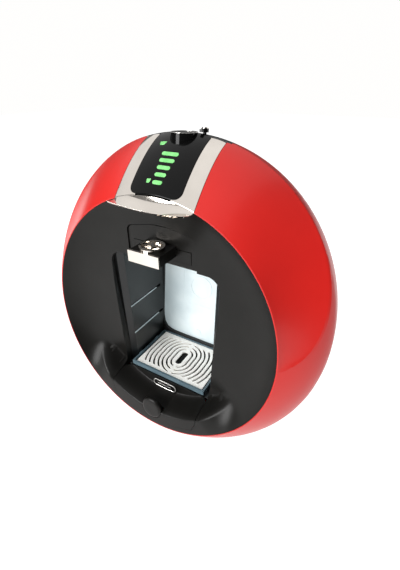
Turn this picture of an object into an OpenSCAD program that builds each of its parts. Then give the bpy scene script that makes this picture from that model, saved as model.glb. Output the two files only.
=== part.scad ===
// Capsule coffee machine with a round red body, built from separate moving pieces.
// Millimetres, +Z up, the front faces -Y, the table is z = 0.
// Shells, handle and tank follow the body's backward lean; the drink tunnel stands upright.

/* [Body] */
// Radius of the black disc at the front
disc_r = 119; // [100:1:140]
// Radius of the round red body
ring_r = 150.2; // [135:0.1:170]
// How far the body's centre stands above the disc's centre
ring_rise = 16.04; // [0:0.01:30]
// Backward lean of the body
lean = 7; // [0:0.5:15]
// Height of the disc's centre above the table
face_z = 142; // [130:1:160]
// Disc's centre ahead of the machine's middle
face_y = -74.14; // [-90:0.1:-50]
// Depth of the red covers
cover_end = 82; // [70:1:90]
// Depth of the rear wall's back face
rear_wall = 92; // [86:1:100]
// Wall thickness of the moulded shells
wall = 3; // [2:0.1:4]
// Seam between neighbouring covers
seam = 0.3; // [0.2:0.05:0.6]

/* [Handle] */
// Half the outer width of the chrome handle
band_out = 38.3; // [34:0.1:42]
// Half the inner width of the chrome handle
band_in = 25; // [20:0.1:30]
// Depth at which the chrome bands end
band_end = 45; // [40:0.5:48]
// Half the width of the black spine behind the handle
spine_half = 42.2; // [39:0.1:46]
// Depth and height of the handle's pin in the leaned frame
pin_at = [54, 154.5]; // [0:0.5:200]
// Radius of the handle's pin
pin_r = 2; // [1.5:0.1:3]

/* [Drink tunnel] */
// Upright plane of the opening
open_y = 18; // [14:0.5:22]
// Half the tunnel's width at its roof and at its floor
tunnel_half = [51.8, 48.2]; // [40:0.1:56]
// Height of the roof and of the floor from the disc's centre
tunnel_z = [55, -82.6]; // [-90:0.1:60]
// Thickness of the tunnel's walls
liner = 3.5; // [2:0.1:5]

/* [Capsule holder] */
// Radius of the holder's cup
cup_r = 29; // [28:0.1:32]
// Distance of the cup's centre behind the disc's centre
cup_y = 52; // [48:0.5:56]
// Bore for a standard capsule
capsule_r = 23.5; // [22:0.1:25]

/* [Water tank] */
// Half the width of the tank
tank_half = 74; // [60:1:75]
// Depth of the tank's front and rear faces
tank_y = [92.6, 146]; // [90:0.1:150]
// Height of the tank's bottom and rim in the leaned frame
tank_w = [-74, 98]; // [-80:1:110]

/* [Hidden] */
$fn = 64;
cover_top = band_out + seam;
panel_end = 56;
button_w = -100;
button_r = 12;

// ---- Form of the body: depth y behind the disc's rim, angle a about the disc's axis ----
function unit(v) = min(1, max(0, v));
function smooth(v) = let (u = unit(v)) u * u * (3 - 2 * u);
function full_r(a) = ring_rise * sin(a) + sqrt(pow(ring_r, 2) - pow(ring_rise * cos(a), 2));
function crest_y(a) = 33.96 + 13.33 * sin(a);
function belly(a, y) = disc_r + (full_r(a) - disc_r) * (1 - pow(max(0, 1 - y / crest_y(a)), 1.5))
    - pow(max(0, y - crest_y(a)), 2) / 166.4;
function fold(a) = a > 90 ? 180 - a : a;
function scoop_y(a) = 47.04 * pow(max(0.0001, sin(90 * unit((fold(a) - 2.17) / 63))), 0.5235);
// The scoop is a flat cone low on the sides and bulges towards the handle
function bulge(a) = 0.12 + 0.403 * smooth((fold(a) - 45) / 22);
function scoop(a, y, g) = disc_r + (belly(a, scoop_y(a)) - disc_r) * (g + bulge(a) * g * (1 - g));
function skin(a, y) = y < scoop_y(a) && fold(a) > 2.3
    ? min(belly(a, y), scoop(a, y, y / scoop_y(a))) : belly(a, y);
function edge(x, y, t, n = 4) = n == 0 ? acos(x / 150) : acos(x / (skin(edge(x, y, t, n - 1), y) - t));
function skin_w(x, y) = let (a = edge(x, y, 0)) skin(a, y) * sin(a);
// The shells thin out towards the disc's edge
function thick(y) = min(wall + 0.2, 0.6 + 0.65 * y);

// ---- Form of the dished black face: depth at x and height w ----
function rim_step(x, w) = smooth((-w / max(1, norm([x, w])) - 0.55) / 0.3);
function floor_y(w) = let (v = max(w, -62)) 17.9 - 0.085 * v + 0.00049 * v * v;
function dish(x, w) = let (r = norm([x, w]), k = rim_step(x, w))
    floor_y(w) * ((1 - k) * (1 - pow(unit(r / disc_r), 6)) + k * smooth((102.5 - r) / 11));

// ---- Placing ----
module upright() translate([0, face_y, face_z]) children();
module leaned() upright() rotate([-lean, 0, 0]) children();
module along_y(y0, y1) translate([0, y1, 0]) rotate([90, 0, 0]) linear_extrude(y1 - y0) children();
module along_x(x0, x1)
    translate([x0, 0, 0]) rotate([90, 0, 90]) linear_extrude(x1 - x0) children();
module both() {
    children();
    mirror([1, 0, 0]) children();
}
module box(x, y, z) translate([x[0], y[0], z[0]]) cube([x[1] - x[0], y[1] - y[0], z[1] - z[0]]);
module rounded(half, y0, y1, r) {
    translate([-half + r, y0]) square([2 * (half - r), y1 - y0]);
    translate([-half, y0 + r]) square([2 * half, y1 - y0 - 2 * r]);
    for (x = [-half + r, half - r], y = [y0 + r, y1 - r]) translate([x, y]) circle(r);
}
module stadium(r, half) {
    translate([-r, -half]) square([2 * r, 2 * half]);
    for (y = [-half, half]) translate([0, y]) circle(r);
}

// A thin closed shell between two grids of points
module slab(outer, inner) {
    nu = len(outer) - 1;
    nv = len(outer[0]) - 1;
    k = (nu + 1) * (nv + 1);
    function id(i, j, s) = s * k + i * (nv + 1) + j;
    function quad(a, b, c, d) = [[a, b, c], [a, c, d]];
    polyhedron(
        [for (row = outer) each row, for (row = inner) each row],
        [for (i = [0:nu - 1], j = [0:nv - 1])
            each quad(id(i, j, 0), id(i + 1, j, 0), id(i + 1, j + 1, 0), id(i, j + 1, 0)),
        for (i = [0:nu - 1], j = [0:nv - 1])
            each quad(id(i, j, 1), id(i, j + 1, 1), id(i + 1, j + 1, 1), id(i + 1, j, 1)),
        for (i = [0:nu - 1]) each quad(id(i + 1, 0, 0), id(i, 0, 0), id(i, 0, 1), id(i + 1, 0, 1)),
        for (i = [0:nu - 1])
            each quad(id(i, nv, 0), id(i + 1, nv, 0), id(i + 1, nv, 1), id(i, nv, 1)),
        for (j = [0:nv - 1]) each quad(id(0, j, 0), id(0, j + 1, 0), id(0, j + 1, 1), id(0, j, 1)),
        for (j = [0:nv - 1])
            each quad(id(nu, j + 1, 0), id(nu, j, 0), id(nu, j, 1), id(nu, j + 1, 1))]);
}

// A closed ring swept from a list of closed profiles
module ring_solid(rows) {
    n = len(rows);
    m = len(rows[0]);
    function id(i, j) = (i % n) * m + (j % m);
    polyhedron([for (row = rows) each row],
        [for (i = [0:n - 1], j = [0:m - 1]) each [
            [id(i, j), id(i + 1, j), id(i + 1, j + 1)],
            [id(i, j), id(i + 1, j + 1), id(i, j + 1)]]]);
}

// A shell over the top of the body, with upright sides at constant x
module top_shell(xs, y0, y1, rows, drop = 0) {
    function y_at(x, j) = y0 + (y1 - y0) * j / rows;
    function cut(j) = j == rows ? drop : 0;
    slab([for (x = xs) [for (j = [0:rows]) [x, y_at(x, j), skin_w(x, y_at(x, j))]]],
        [for (x = xs) [for (j = [0:rows]) let (y = y_at(x, j) - cut(j))
            [x, y, skin_w(x, y) - thick(y)]]]);
}

// ---- Red covers ----
module side_cover_left() mirror([1, 0, 0]) side_cover_right();

module side_cover_right() {
    ys = [seam, 2, 5, 9, 14, 20, 26, 32, 38, 42, 45.4, 46, 50, 56, 63, 70, 76, cover_end];
    steps = 30;
    function top_x(y) = y < 45.7 ? cover_top : spine_half + seam;
    function turn(y, t, i) = let (low = -edge(seam, y, t), high = edge(top_x(y), y, t))
        low + (high - low) * i / steps;
    function at(y, t, i) = let (a = turn(y, t, i), r = skin(a, y) - t) [r * cos(a), y, r * sin(a)];
    color("firebrick") leaned()
        slab([for (i = [0:steps]) [for (y = ys) at(y, 0, i)]],
            [for (i = [0:steps]) [for (y = ys) at(y, thick(y), i)]]);
}

// ---- Black shells ----
module rear_cover() {
    ys = [cover_end, 85, 88.5, 90.8, rear_wall];
    front = rear_wall - wall;
    function hole(a) = pow(pow(abs(cos(a)) / 49.5, 8) + pow(abs(sin(a)) / (a > 180 ? 65 : 55), 8), -1 / 8);
    function ease(y) = y > 88 ? pow((y - 88) / 4, 2) * 2.5 : 0;
    function p(a, r, y) = [r * cos(a), y, r * sin(a)];
    color("dimgray") leaned()
        ring_solid([for (a = [0:5:359]) concat(
            [for (y = [front, cover_end]) p(a, skin(a, y) - wall - 0.2, y)],
            [for (y = ys) p(a, skin(a, y) - ease(y), y)],
            [p(a, hole(a), rear_wall), p(a, hole(a), front)])]);
}

module spine_cover() {
    xs = [for (x = [spine_half, 36, 31, 25.05, 24.7, 12, 0, -12, -24.7, -25.05, -31, -36, -spine_half]) x];
    rows = 8;
    function y_at(x, j) = let (y0 = abs(x) > 24.9 ? 46.3 : panel_end + seam)
        y0 + (cover_end - y0) * j / rows;
    color("dimgray") leaned()
        slab([for (x = xs) [for (j = [0:rows]) [x, y_at(x, j), skin_w(x, y_at(x, j))]]],
            [for (x = xs) [for (j = [0:rows]) [x, y_at(x, j), skin_w(x, y_at(x, j)) - wall - 0.2]]]);
}

// Outline of everything cut out of the dish: head cover, opening and lower panel
function arc(c, r, a0, a1, n) =
    [for (i = [0:n]) [c[0] + r * cos(a0 + (a1 - a0) * i / n), c[1] + r * sin(a0 + (a1 - a0) * i / n)]];
function right_side() = concat(
    [for (x = [0:8:48]) [x, -sqrt(113.3 * 113.3 - x * x)]],
    [[48.8, -102.2], [52.3, -92.5], [52.4, -81], [53.5, -66], [55.2, -30], [57.2, 0], [58.6, 25]],
    arc([46.6, 46.2], 12.4, 0, 90, 6),
    [[36.3, 58.6], [36.3, 80]],
    arc([29.3, 82.4], 7, 20, 62, 3),
    [[20, 91], [9, 93.2], [0, 93.6]]);
function turn_of(p) = atan2(p[1], p[0]);
// Adds points so that no step turns by more than 5 degrees about the disc's axis
function finer(line) = concat(
    [for (i = [0:len(line) - 2]) let (a = line[i], b = line[i + 1], n = ceil((turn_of(b) - turn_of(a)) / 5))
        for (j = [0:n - 1]) a + (b - a) * j / n],
    [line[len(line) - 1]]);
function cut_line() = let (half = finer(right_side()), n = len(half))
    concat(half, [for (i = [n - 2:-1:1]) [-half[i][0], half[i][1]]]);

module front_fascia() {
    rim = disc_r - 0.6;
    function ring_point(p, s) = let (r = norm(p), d = p / r, q = d * (r + (rim - r) * s)) q;
    function front(p, s) = let (q = ring_point(p, s)) [q[0], max(0.15, dish(q[0], q[1])), q[1]];
    function back(p, s) = let (q = ring_point(p, s)) [q[0], max(0.15, dish(q[0], q[1])) + wall, q[1]];
    color("dimgray") leaned()
        ring_solid([for (p = cut_line()) concat(
            [for (s = [0, 0.12, 0.3, 0.5, 0.7, 0.85, 0.95, 1]) front(p, s)],
            [let (q = ring_point(p, 1)) [q[0], 2.1, q[1]]],
            [for (s = [0.9, 0.7, 0.5, 0.3, 0.12, 0]) back(p, s)])]);
}

module lower_front_panel() {
    rows = 16;
    function half(v) = v < 0.6 ? 52 : 52 - 3.5 * (v - 0.6) / 0.4;
    function point(u, v, t) = let (x = u * min(52, max(48.5, half(v))),
        w = -80.4 - v * (sqrt(12769 - x * x) - 80.4)) [x, dish(x, w) + t, w];
    color("dimgray") leaned() difference() {
        slab([for (i = [10:-1:-10]) [for (j = [rows:-1:0]) point(i / 10, j / rows, 0)]],
            [for (i = [10:-1:-10]) [for (j = [rows:-1:0]) point(i / 10, j / rows, wall)]]);
        translate([0, 0, button_w]) {
            along_y(-5, 6.2) circle(button_r + 0.1);
            along_y(0, 40) circle(4.1);
        }
    }
}

module front_badge() {
    color("silver") leaned()
        translate([0, 0, -87.2]) along_y(23.1, 23.9) rotate(90) stadium(4.2, 10.3);
}

module power_button() {
    color("dimgray") leaned() translate([0, 0, button_w]) {
        along_y(-1.2, 3.5) circle(button_r);
        along_y(3, 16) circle(4);
    }
}

module button_switch() {
    color("black") leaned() box([-9, 9], [19, 27], [button_w - 7, button_w + 4]);
}

module head_cover() {
    top = concat([[-36, 57.4], [36, 57.4]], [[36, 77.3]], arc([29, 79.6], 7, 0, 62, 4), [[20, 88.3], [9, 90.5]],
        [[-9, 90.5], [-20, 88.3]], arc([-29, 79.6], 7, 118, 180, 4));
    color("dimgray") upright() difference() {
        along_y(22.8, 26.8) polygon(top);
        box([-30.4, 30.4], [20, 30], [61.6, 73.6]);
    }
}

// ---- Drink tunnel ----
module tunnel_shape(grow) {
    polygon([[-tunnel_half[0] - grow, tunnel_z[0] + grow], [tunnel_half[0] + grow, tunnel_z[0] + grow],
        [tunnel_half[1] + grow, tunnel_z[1] - grow], [-tunnel_half[1] - grow, tunnel_z[1] - grow]]);
}

// Flared end of the tunnel behind the dished face
module mouth_shape(out, up) {
    polygon([[-tunnel_half[0] - out, tunnel_z[0] + up], [tunnel_half[0] + out, tunnel_z[0] + up],
        [tunnel_half[1] + out, tunnel_z[1] - up], [-tunnel_half[1] - out, tunnel_z[1] - up]]);
}

module behind_wall(y) leaned() translate([-200, y, -200]) cube([400, 200, 400]);

module tunnel_liner() {
    color("gray") difference() {
        upright() difference() {
            along_y(29, 110) tunnel_shape(2.4);
            along_y(10, 120) tunnel_shape(0);
            for (z = [-12.5, -48]) box([-53.4, 53.4], [20, 82], [z - 1.6, z + 1.6]);
            translate([0, cup_y, 50]) cylinder(r = 15, h = 20);
        }
        behind_wall(rear_wall - wall);
    }
    color("gray") upright() difference() {
        along_y(open_y + 6.3, 29) mouth_shape(8.4, 2.2);
        hull() {
            along_y(open_y + 5.4, open_y + 5.5) mouth_shape(5.8, 1.6);
            along_y(28.9, 29.1) mouth_shape(0, 0);
        }
    }
}

// ---- Inner frame and brewing unit ----
module chassis_frame() {
    color("darkslategray") upright() difference() {
        along_y(58, 61) translate([0, 14]) circle(r = 126);
        along_y(50, 70) tunnel_shape(2.5);
        box([-37.1, 37.1], [50, 70], [50, 96.1]);
        for (x = [-88, 88], z = [-62, 98]) translate([x, 0, z]) along_y(50, 70) circle(9);
    }
}

module brew_head() {
    color("dimgray") upright() difference() {
        box([-37, 37], [27, 84], [57.6, 96]);
        box([-30.4, 30.4], [20, 81.5], [61.6, 73.6]);
        translate([0, cup_y, 73]) cylinder(r = 16.1, h = 17);
        translate([0, cup_y, 80]) cylinder(r = 4.06, h = 20);
        translate([0, cup_y, 50]) cylinder(r = 14, h = 20);
    }
}

module pin_place() leaned() translate([0, pin_at[0], pin_at[1]]) rotate([0, 90, 0]) children();

module hinge_bracket() {
    pin = [pin_at[0] * cos(lean) + pin_at[1] * sin(lean), pin_at[1] * cos(lean) - pin_at[0] * sin(lean)];
    color("slategray") upright() {
        box([-31, 31], [66, 79], [96, 99]);
        both() along_x(25.5, 29.4) difference() {
            union() {
                translate([pin[0] - 2.8, 98]) square([5.6, pin[1] - 98]);
                translate(pin) circle(4);
            }
            translate(pin) circle(pin_r + 0.02);
        }
    }
}

module hinge_pin() {
    color("silver") pin_place() translate([0, 0, -34.6]) cylinder(r = pin_r, h = 69.2);
}

// ---- Handle ----
module handle_band_right() {
    color("silver") leaned()
        top_shell([band_out, 33.9, 29.4, band_in], seam, band_end, 14, 2.4);
}

module handle_band_left() mirror([1, 0, 0]) handle_band_right();

module handle_lip() {
    rows = 8;
    function start(x) = [x, -0.15, sqrt(disc_r * disc_r - x * x)];
    function tip(x) = let (k = pow(x / band_out, 2)) [x * 0.95, -8.3 - 3.4 * k, 108.4 + 3.6 * k];
    function skin_at(x, s) = start(x) * (1 - s) + tip(x) * s + [0, 0.78, -0.62] * 6 * s * (1 - s);
    xs = [for (i = [8:-1:-8]) band_out * i / 8];
    color("silver") leaned()
        slab([for (x = xs) [for (j = [rows:-1:0]) skin_at(x, 1 - j / rows)]],
            [for (x = xs) [for (j = [rows:-1:0]) let (s = 1 - j / rows)
                skin_at(x, s) - [0, -0.5, 0.6] * (0.5 + 2 * s)]]);
}

module handle_arms() {
    function under(y) = min(skin_w(34, y), skin_w(30, y)) - thick(y) - 0.35;
    top = [for (y = [14:4:38]) [y, under(y)]];
    low = [for (y = [38:-4:14]) [y + 3.5, under(y) - 6.5]];
    color("slategray") both() difference() {
        union() {
            leaned() along_x(30, 34) polygon(concat(top, [[44, 152.4], [52, 152.6], [52, 148], [45, 146.4]], low));
            pin_place() translate([0, 0, 30]) cylinder(r = 4, h = 4);
        }
        pin_place() translate([0, 0, 20]) cylinder(r = pin_r + 0.06, h = 20);
    }
}

module injector() {
    color("silver") upright() translate([0, cup_y, 0]) {
        translate([0, 0, 76]) cylinder(r = 16.04, h = 5);
        translate([0, 0, 81]) cylinder(r = 4, h = 27);
        translate([0, 0, 74.2]) cylinder(r = 1.2, h = 1.8);
    }
}

// ---- Control panel ----
module control_panel() {
    color("black") leaned() difference() {
        top_shell([for (x = [24.7, 18, 12, 6, 0, -6, -12, -18, -24.7]) x], 1.2, panel_end, 20);
        translate([0, 43, 140]) cylinder(r = 3.02, h = 40);
        translate([15, 51.5, 140]) cylinder(r = 1.56, h = 40);
    }
}

// A thin plate lying on the panel's skin
module on_panel(x0, x1, y0, y1, lift, top) {
    xs = [for (i = [4:-1:0]) x0 + (x1 - x0) * i / 4];
    ys = [for (j = [0:3]) y0 + (y1 - y0) * j / 3];
    slab([for (x = xs) [for (y = ys) [x, y - top * 0.7, skin_w(x, y) + top * 0.7]]],
        [for (x = xs) [for (y = ys) [x, y - lift * 0.7, skin_w(x, y) + lift * 0.7]]]);
}

module led_bars() {
    half = [4.5, 5.4, 6.2, 7.2, 8];
    depth = [6.8, 10.9, 15, 19.4, 24];
    color("limegreen") leaned()
        for (i = [0:4]) on_panel(-half[i], half[i], depth[i] - 1.3, depth[i] + 1.3, 0.1, 0.35);
}

module cup_icons() {
    color("limegreen") leaned() {
        on_panel(-10.8, -7.2, 6.2, 8.6, 0.1, 0.3);
        on_panel(-16.2, -10.2, 30.8, 34.8, 0.1, 0.3);
    }
}

module top_badge() {
    color("silver") leaned() translate([0, 43, 0]) {
        translate([0, 0, 150]) cylinder(r = 3, h = 16.7);
        translate([0, 0, 166.6]) cylinder(r = 11.5, h = 1.2);
    }
}

module selector_knob() {
    color("dimgray") leaned() translate([15, 51.5, 0]) {
        translate([0, 0, 157.5]) cylinder(r = 1.5, h = 9.5);
        translate([0, 0, 166.6]) cylinder(r = 3.2, h = 3);
        translate([-1.2, -7, 166.6]) cube([2.4, 6, 2.2]);
    }
}

module selector_tip() {
    color("silver") leaned() translate([15, 51.5, 169.6]) cylinder(r = 2.6, h = 0.8);
}

// ---- Capsule holder ----
module capsule_holder() {
    color("dimgray") upright() difference() {
        union() {
            translate([0, cup_y, 62]) cylinder(r = cup_r, h = 11.2);
            box([-30, 30], [22.4, cup_y], [62, 73.2]);
            box([-15.2, 15.2], [-1, 22.4], [66.6, 76]);
        }
        translate([0, cup_y, 60]) cylinder(r = capsule_r, h = 20);
        translate([0, cup_y, 70.8]) cylinder(r = 27.1, h = 5);
    }
}

module holder_front() {
    color("white") upright() box([-15.6, 15.6], [-3, -1], [66.1, 76.4]);
}

module holder_ring() {
    color("silver") upright() translate([0, 10, 76]) difference() {
        cylinder(r = 11, h = 2.6);
        difference() {
            translate([0, 0, 0.8]) cylinder(r = 9, h = 4);
            for (a = [0, 60, 120]) rotate(a) translate([-10, -0.7, 0]) cube([20, 1.4, 1.9]);
        }
    }
}

// ---- Drip tray ----
module drip_tray() {
    color("lightsteelblue") upright() difference() {
        box([-46, 46], [16.5, 79.2], [-82.4, -77.2]);
        box([-44, 44], [18.5, 77.4], [-81, -70]);
    }
}

module drip_grill() {
    color("silver") upright() {
        translate([0, 0, -79.8]) linear_extrude(1.5) difference() {
            translate([-42.2, 19.5]) square([84.4, 57.6]);
            translate([0, 48]) stadium(3.6, 7);
            for (r = [8, 13, 18]) translate([0, 48]) difference() {
                stadium(r + 2, 6);
                stadium(r, 6);
                translate([-2, -40]) square([4, 80]);
            }
            for (r = [23, 28, 33, 38]) translate([0, 48]) difference() {
                intersection() {
                    stadium(r + 2, 5);
                    translate([-41, -24]) square([82, 48]);
                }
                stadium(r, 5);
                translate([-10, -40]) square([20, 80]);
            }
        }
        both() box([36, 40], [19.5, 23], [-80.9, -79.8]);
        both() box([36, 40], [73, 77], [-80.9, -79.8]);
    }
}

module tray_clips() {
    color("lightsteelblue") upright() both() {
        box([46, 47.6], [30, 36], [-81.4, -78]);
        box([46, 47.6], [60, 66], [-81.4, -78]);
    }
}

// ---- Water tank ----
module water_tank() {
    w = tank_w;
    color("lightblue") leaned() {
        difference() {
            translate([0, 0, w[0]]) linear_extrude(w[1] - w[0]) rounded(tank_half, tank_y[0], tank_y[1], 14);
            translate([0, 0, w[0] + 2.6])
                linear_extrude(w[1] - w[0]) rounded(tank_half - 2.6, tank_y[0] + 2.6, tank_y[1] - 2.6, 11.4);
            translate([0, 119, w[0] - 5]) cylinder(r = 9.07, h = 20);
        }
        both() difference() {
            union() {
                box([50, 56], [146, 150], [82, 98]);
                translate([50, 149, 98]) rotate([0, 90, 0]) cylinder(r = 3, h = 6);
            }
            translate([40, 149, 98]) rotate([0, 90, 0]) cylinder(r = 1.52, h = 30);
        }
    }
}

module tank_valve() {
    color("white") leaned() translate([0, 119, tank_w[0]]) {
        translate([0, 0, -9]) cylinder(r = 7, h = 9);
        cylinder(r = 9, h = 7);
    }
}

module tank_boss() {
    color("lightblue") leaned() {
        translate([0, 0, 3.5]) along_y(tank_y[0] - 0.5, tank_y[0]) difference() {
            circle(14);
            circle(12.6);
        }
        translate([0, 0, -56.2]) along_y(tank_y[0] - 0.5, tank_y[0]) circle(3.5);
    }
}

module tank_lid() {
    color("dimgray") leaned() difference() {
        union() {
            translate([0, 0, tank_w[1] + 0.3])
                linear_extrude(3) rounded(tank_half, tank_y[0] + 1, tank_y[1] - 0.6, 13.4);
            both() box([57, 62], [140, 149], [tank_w[1] + 0.3, tank_w[1] + 3.3]);
            both() translate([57, 149, 98]) rotate([0, 90, 0]) cylinder(r = 2.7, h = 5);
        }
        both() translate([40, 149, 98]) rotate([0, 90, 0]) cylinder(r = 1.56, h = 30);
        both() box([49, 56.6], [144.4, 153], [90, 110]);
        both() box([56, 63], [130, 146.4], [90, tank_w[1] + 0.3]);
    }
}

module lid_pin() {
    color("silver") leaned() both() translate([49.6, 149, 98]) rotate([0, 90, 0]) cylinder(r = 1.5, h = 12.6);
}

// ---- Stand ----
module base_plate() {
    color("dimgray") upright() {
        translate([0, 0, -139]) linear_extrude(2.5) rounded(66, 26, 140, 16);
        box([-40, 40], [50, 74], [-136.5, -131.4]);
    }
}

module rubber_feet() {
    color("black") upright() for (x = [-50, 50], y = [42, 126])
        translate([x, y, -142]) cylinder(r = 8, h = 3);
}

module rear_pedestal() {
    color("dimgray") intersection() {
        upright() box([-200, 200], [0, 300], [-136.5, 0]);
        leaned() difference() {
            box([-64, 64], [rear_wall, 146], [-150, tank_w[0]]);
            box([-61, 61], [rear_wall + 3, 143], [-160, tank_w[0] - 4]);
            translate([0, 119, tank_w[0] - 20]) cylinder(r = 12, h = 30);
            box([-18, 18], [140, 150], [-118, -98]);
        }
    }
}

module tank_seat() {
    color("black") leaned() translate([0, 119, tank_w[0] - 11]) difference() {
        cylinder(r = 12, h = 11);
        translate([0, 0, -1]) cylinder(r = 7.08, h = 20);
    }
}

module mains_inlet() {
    color("black") leaned() difference() {
        box([-18, 18], [141, 146.6], [-118, -98]);
        box([-13, 13], [143, 150], [-115, -101]);
    }
}

// ---- Works inside the ring ----
module pump_place(z) upright() translate([86, 75, z]) children();

module pump() {
    color("slategray") pump_place(-10) {
        cylinder(r = 11.5, h = 44);
        translate([-14, -10.5, 9]) cube([28, 21, 24]);
        translate([0, 0, 44]) cylinder(r = 4, h = 14);
        translate([0, 0, -14]) cylinder(r = 4, h = 14);
    }
}

module pump_mounts() {
    color("black") for (z = [-8, 26]) pump_place(z) difference() {
        cylinder(r = 13.2, h = 5);
        translate([0, 0, -1]) cylinder(r = 11.56, h = 7);
    }
}

module thermoblock() {
    color("silver") upright() {
        box([-106, -68], [62, 80], [-40, 34]);
        for (z = [-30:12:20]) box([-104, -70], [80, 83], [z, z + 6]);
    }
}

module heater_terminals() {
    color("goldenrod") upright() for (z = [-34, 24]) box([-90, -84], [61.2, 62], [z, z + 6]);
}

module flow_meter() {
    color("white") {
        pump_place(-66) translate([0, -9, 0]) rotate([-90, 0, 0]) cylinder(r = 13, h = 12);
        pump_place(-53.5) translate([-2, -2, -2]) cube([4, 4, 11.5]);
    }
}

module hose_feed() {
    color("white") pump_place(-44) cylinder(r = 3, h = 20);
}

module hose_boiler() {
    color("white") {
        pump_place(48) cylinder(r = 3, h = 38);
        upright() translate([37, 75, 86]) rotate([0, 90, 0]) cylinder(r = 3, h = 49);
    }
}

module control_board() {
    color("green") upright() {
        box([-104, -66], [46, 47.6], [-20, 40]);
        box([-96, -80], [42, 46], [-6, 14]);
    }
}

module cover_screws() {
    color("silver") leaned() for (a = [-40, 20, 160, 220])
        translate([108 * cos(a), rear_wall, 108 * sin(a)]) rotate([-90, 0, 0]) cylinder(r = 3.4, h = 1.6);
}

base_plate();
rubber_feet();
rear_pedestal();
tank_seat();
side_cover_left();
side_cover_right();
rear_cover();
spine_cover();
front_fascia();
lower_front_panel();
front_badge();
power_button();
button_switch();
head_cover();
tunnel_liner();
chassis_frame();
brew_head();
hinge_bracket();
hinge_pin();
control_panel();
led_bars();
cup_icons();
top_badge();
selector_knob();
selector_tip();
handle_band_left();
handle_band_right();
handle_lip();
handle_arms();
injector();
capsule_holder();
holder_front();
holder_ring();
drip_tray();
drip_grill();
tray_clips();
water_tank();
tank_valve();
tank_boss();
tank_lid();
lid_pin();
pump();
pump_mounts();
thermoblock();
heater_terminals();
flow_meter();
hose_feed();
hose_boiler();
control_board();
mains_inlet();
cover_screws();
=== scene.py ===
"""Looks of the round capsule coffee machine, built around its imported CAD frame.

Shells, handle and tank follow the body's backward lean; the drink tunnel stands upright.
Lengths inside the classes are millimetres; meshes are written in metres.
"""

import logging
import math
from dataclasses import dataclass
from enum import Enum
from typing import Callable, Iterable, Sequence

import bmesh
import bpy
import numpy as np
from mathutils import Matrix, Vector

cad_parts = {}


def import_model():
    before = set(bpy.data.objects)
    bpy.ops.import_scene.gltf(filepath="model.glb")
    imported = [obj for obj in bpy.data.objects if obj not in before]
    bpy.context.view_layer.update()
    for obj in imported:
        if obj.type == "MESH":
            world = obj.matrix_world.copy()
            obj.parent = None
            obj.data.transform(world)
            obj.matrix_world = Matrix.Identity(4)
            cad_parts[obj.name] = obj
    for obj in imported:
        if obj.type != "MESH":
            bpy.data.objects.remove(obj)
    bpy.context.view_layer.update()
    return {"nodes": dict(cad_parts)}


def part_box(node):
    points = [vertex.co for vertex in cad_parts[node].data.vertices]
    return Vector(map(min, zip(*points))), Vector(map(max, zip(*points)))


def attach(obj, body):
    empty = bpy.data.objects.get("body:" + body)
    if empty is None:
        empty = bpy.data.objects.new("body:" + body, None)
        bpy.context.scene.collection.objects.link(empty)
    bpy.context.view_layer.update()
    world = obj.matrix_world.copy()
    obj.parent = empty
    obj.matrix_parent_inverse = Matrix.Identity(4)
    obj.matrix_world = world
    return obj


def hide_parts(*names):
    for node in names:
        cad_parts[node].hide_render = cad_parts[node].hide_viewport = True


LOG = logging.getLogger("coffee_machine")
MM = 0.001
Array = np.ndarray
Outline = tuple[tuple[float, float], ...]
Corners = tuple[tuple[float, ...], tuple[float, ...]]
SOCKET = "input:"

# Shared by every finish
BRUSH_STRETCH = 0.04
MOTTLE_BAND = (0.35, 0.65)
BUMP_STRENGTH = 0.6
COAT_ROUGH = 0.04
METAL_FROM = 0.5


# ------------------------------------------------------------------ nodes and materials
def linear(hex_colour: str) -> tuple[float, float, float, float]:
    """Turns an sRGB hex colour into Blender's linear colour.

    Args:
        hex_colour: Colour as "#rrggbb".

    Returns:
        Linear red, green, blue and alpha.
    """
    parts = [int(hex_colour[i:i + 2], 16) / 255 for i in (1, 3, 5)]
    red, green, blue = (c / 12.92 if c <= 0.04045 else ((c + 0.055) / 1.055) ** 2.4 for c in parts)
    return red, green, blue, 1.0


def add_node(tree: bpy.types.NodeTree, kind: str, settings: dict | None = None,
             links: dict | None = None) -> bpy.types.Node:
    """Adds one node with its settings and links.

    Args:
        tree: Tree that takes the node.
        kind: Node type name.
        settings: Attribute names or "input:NAME" socket values.
        links: Input socket name or index to the output socket that feeds it.

    Returns:
        The new node.
    """
    node = tree.nodes.new(kind)
    for key, value in (settings or {}).items():
        if key.startswith(SOCKET):
            name = key.removeprefix(SOCKET)
            node.inputs[int(name) if name.isdigit() else name].default_value = value
        else:
            setattr(node, key, value)
    for key, source in (links or {}).items():
        tree.links.new(source, node.inputs[key])
    return node


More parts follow.
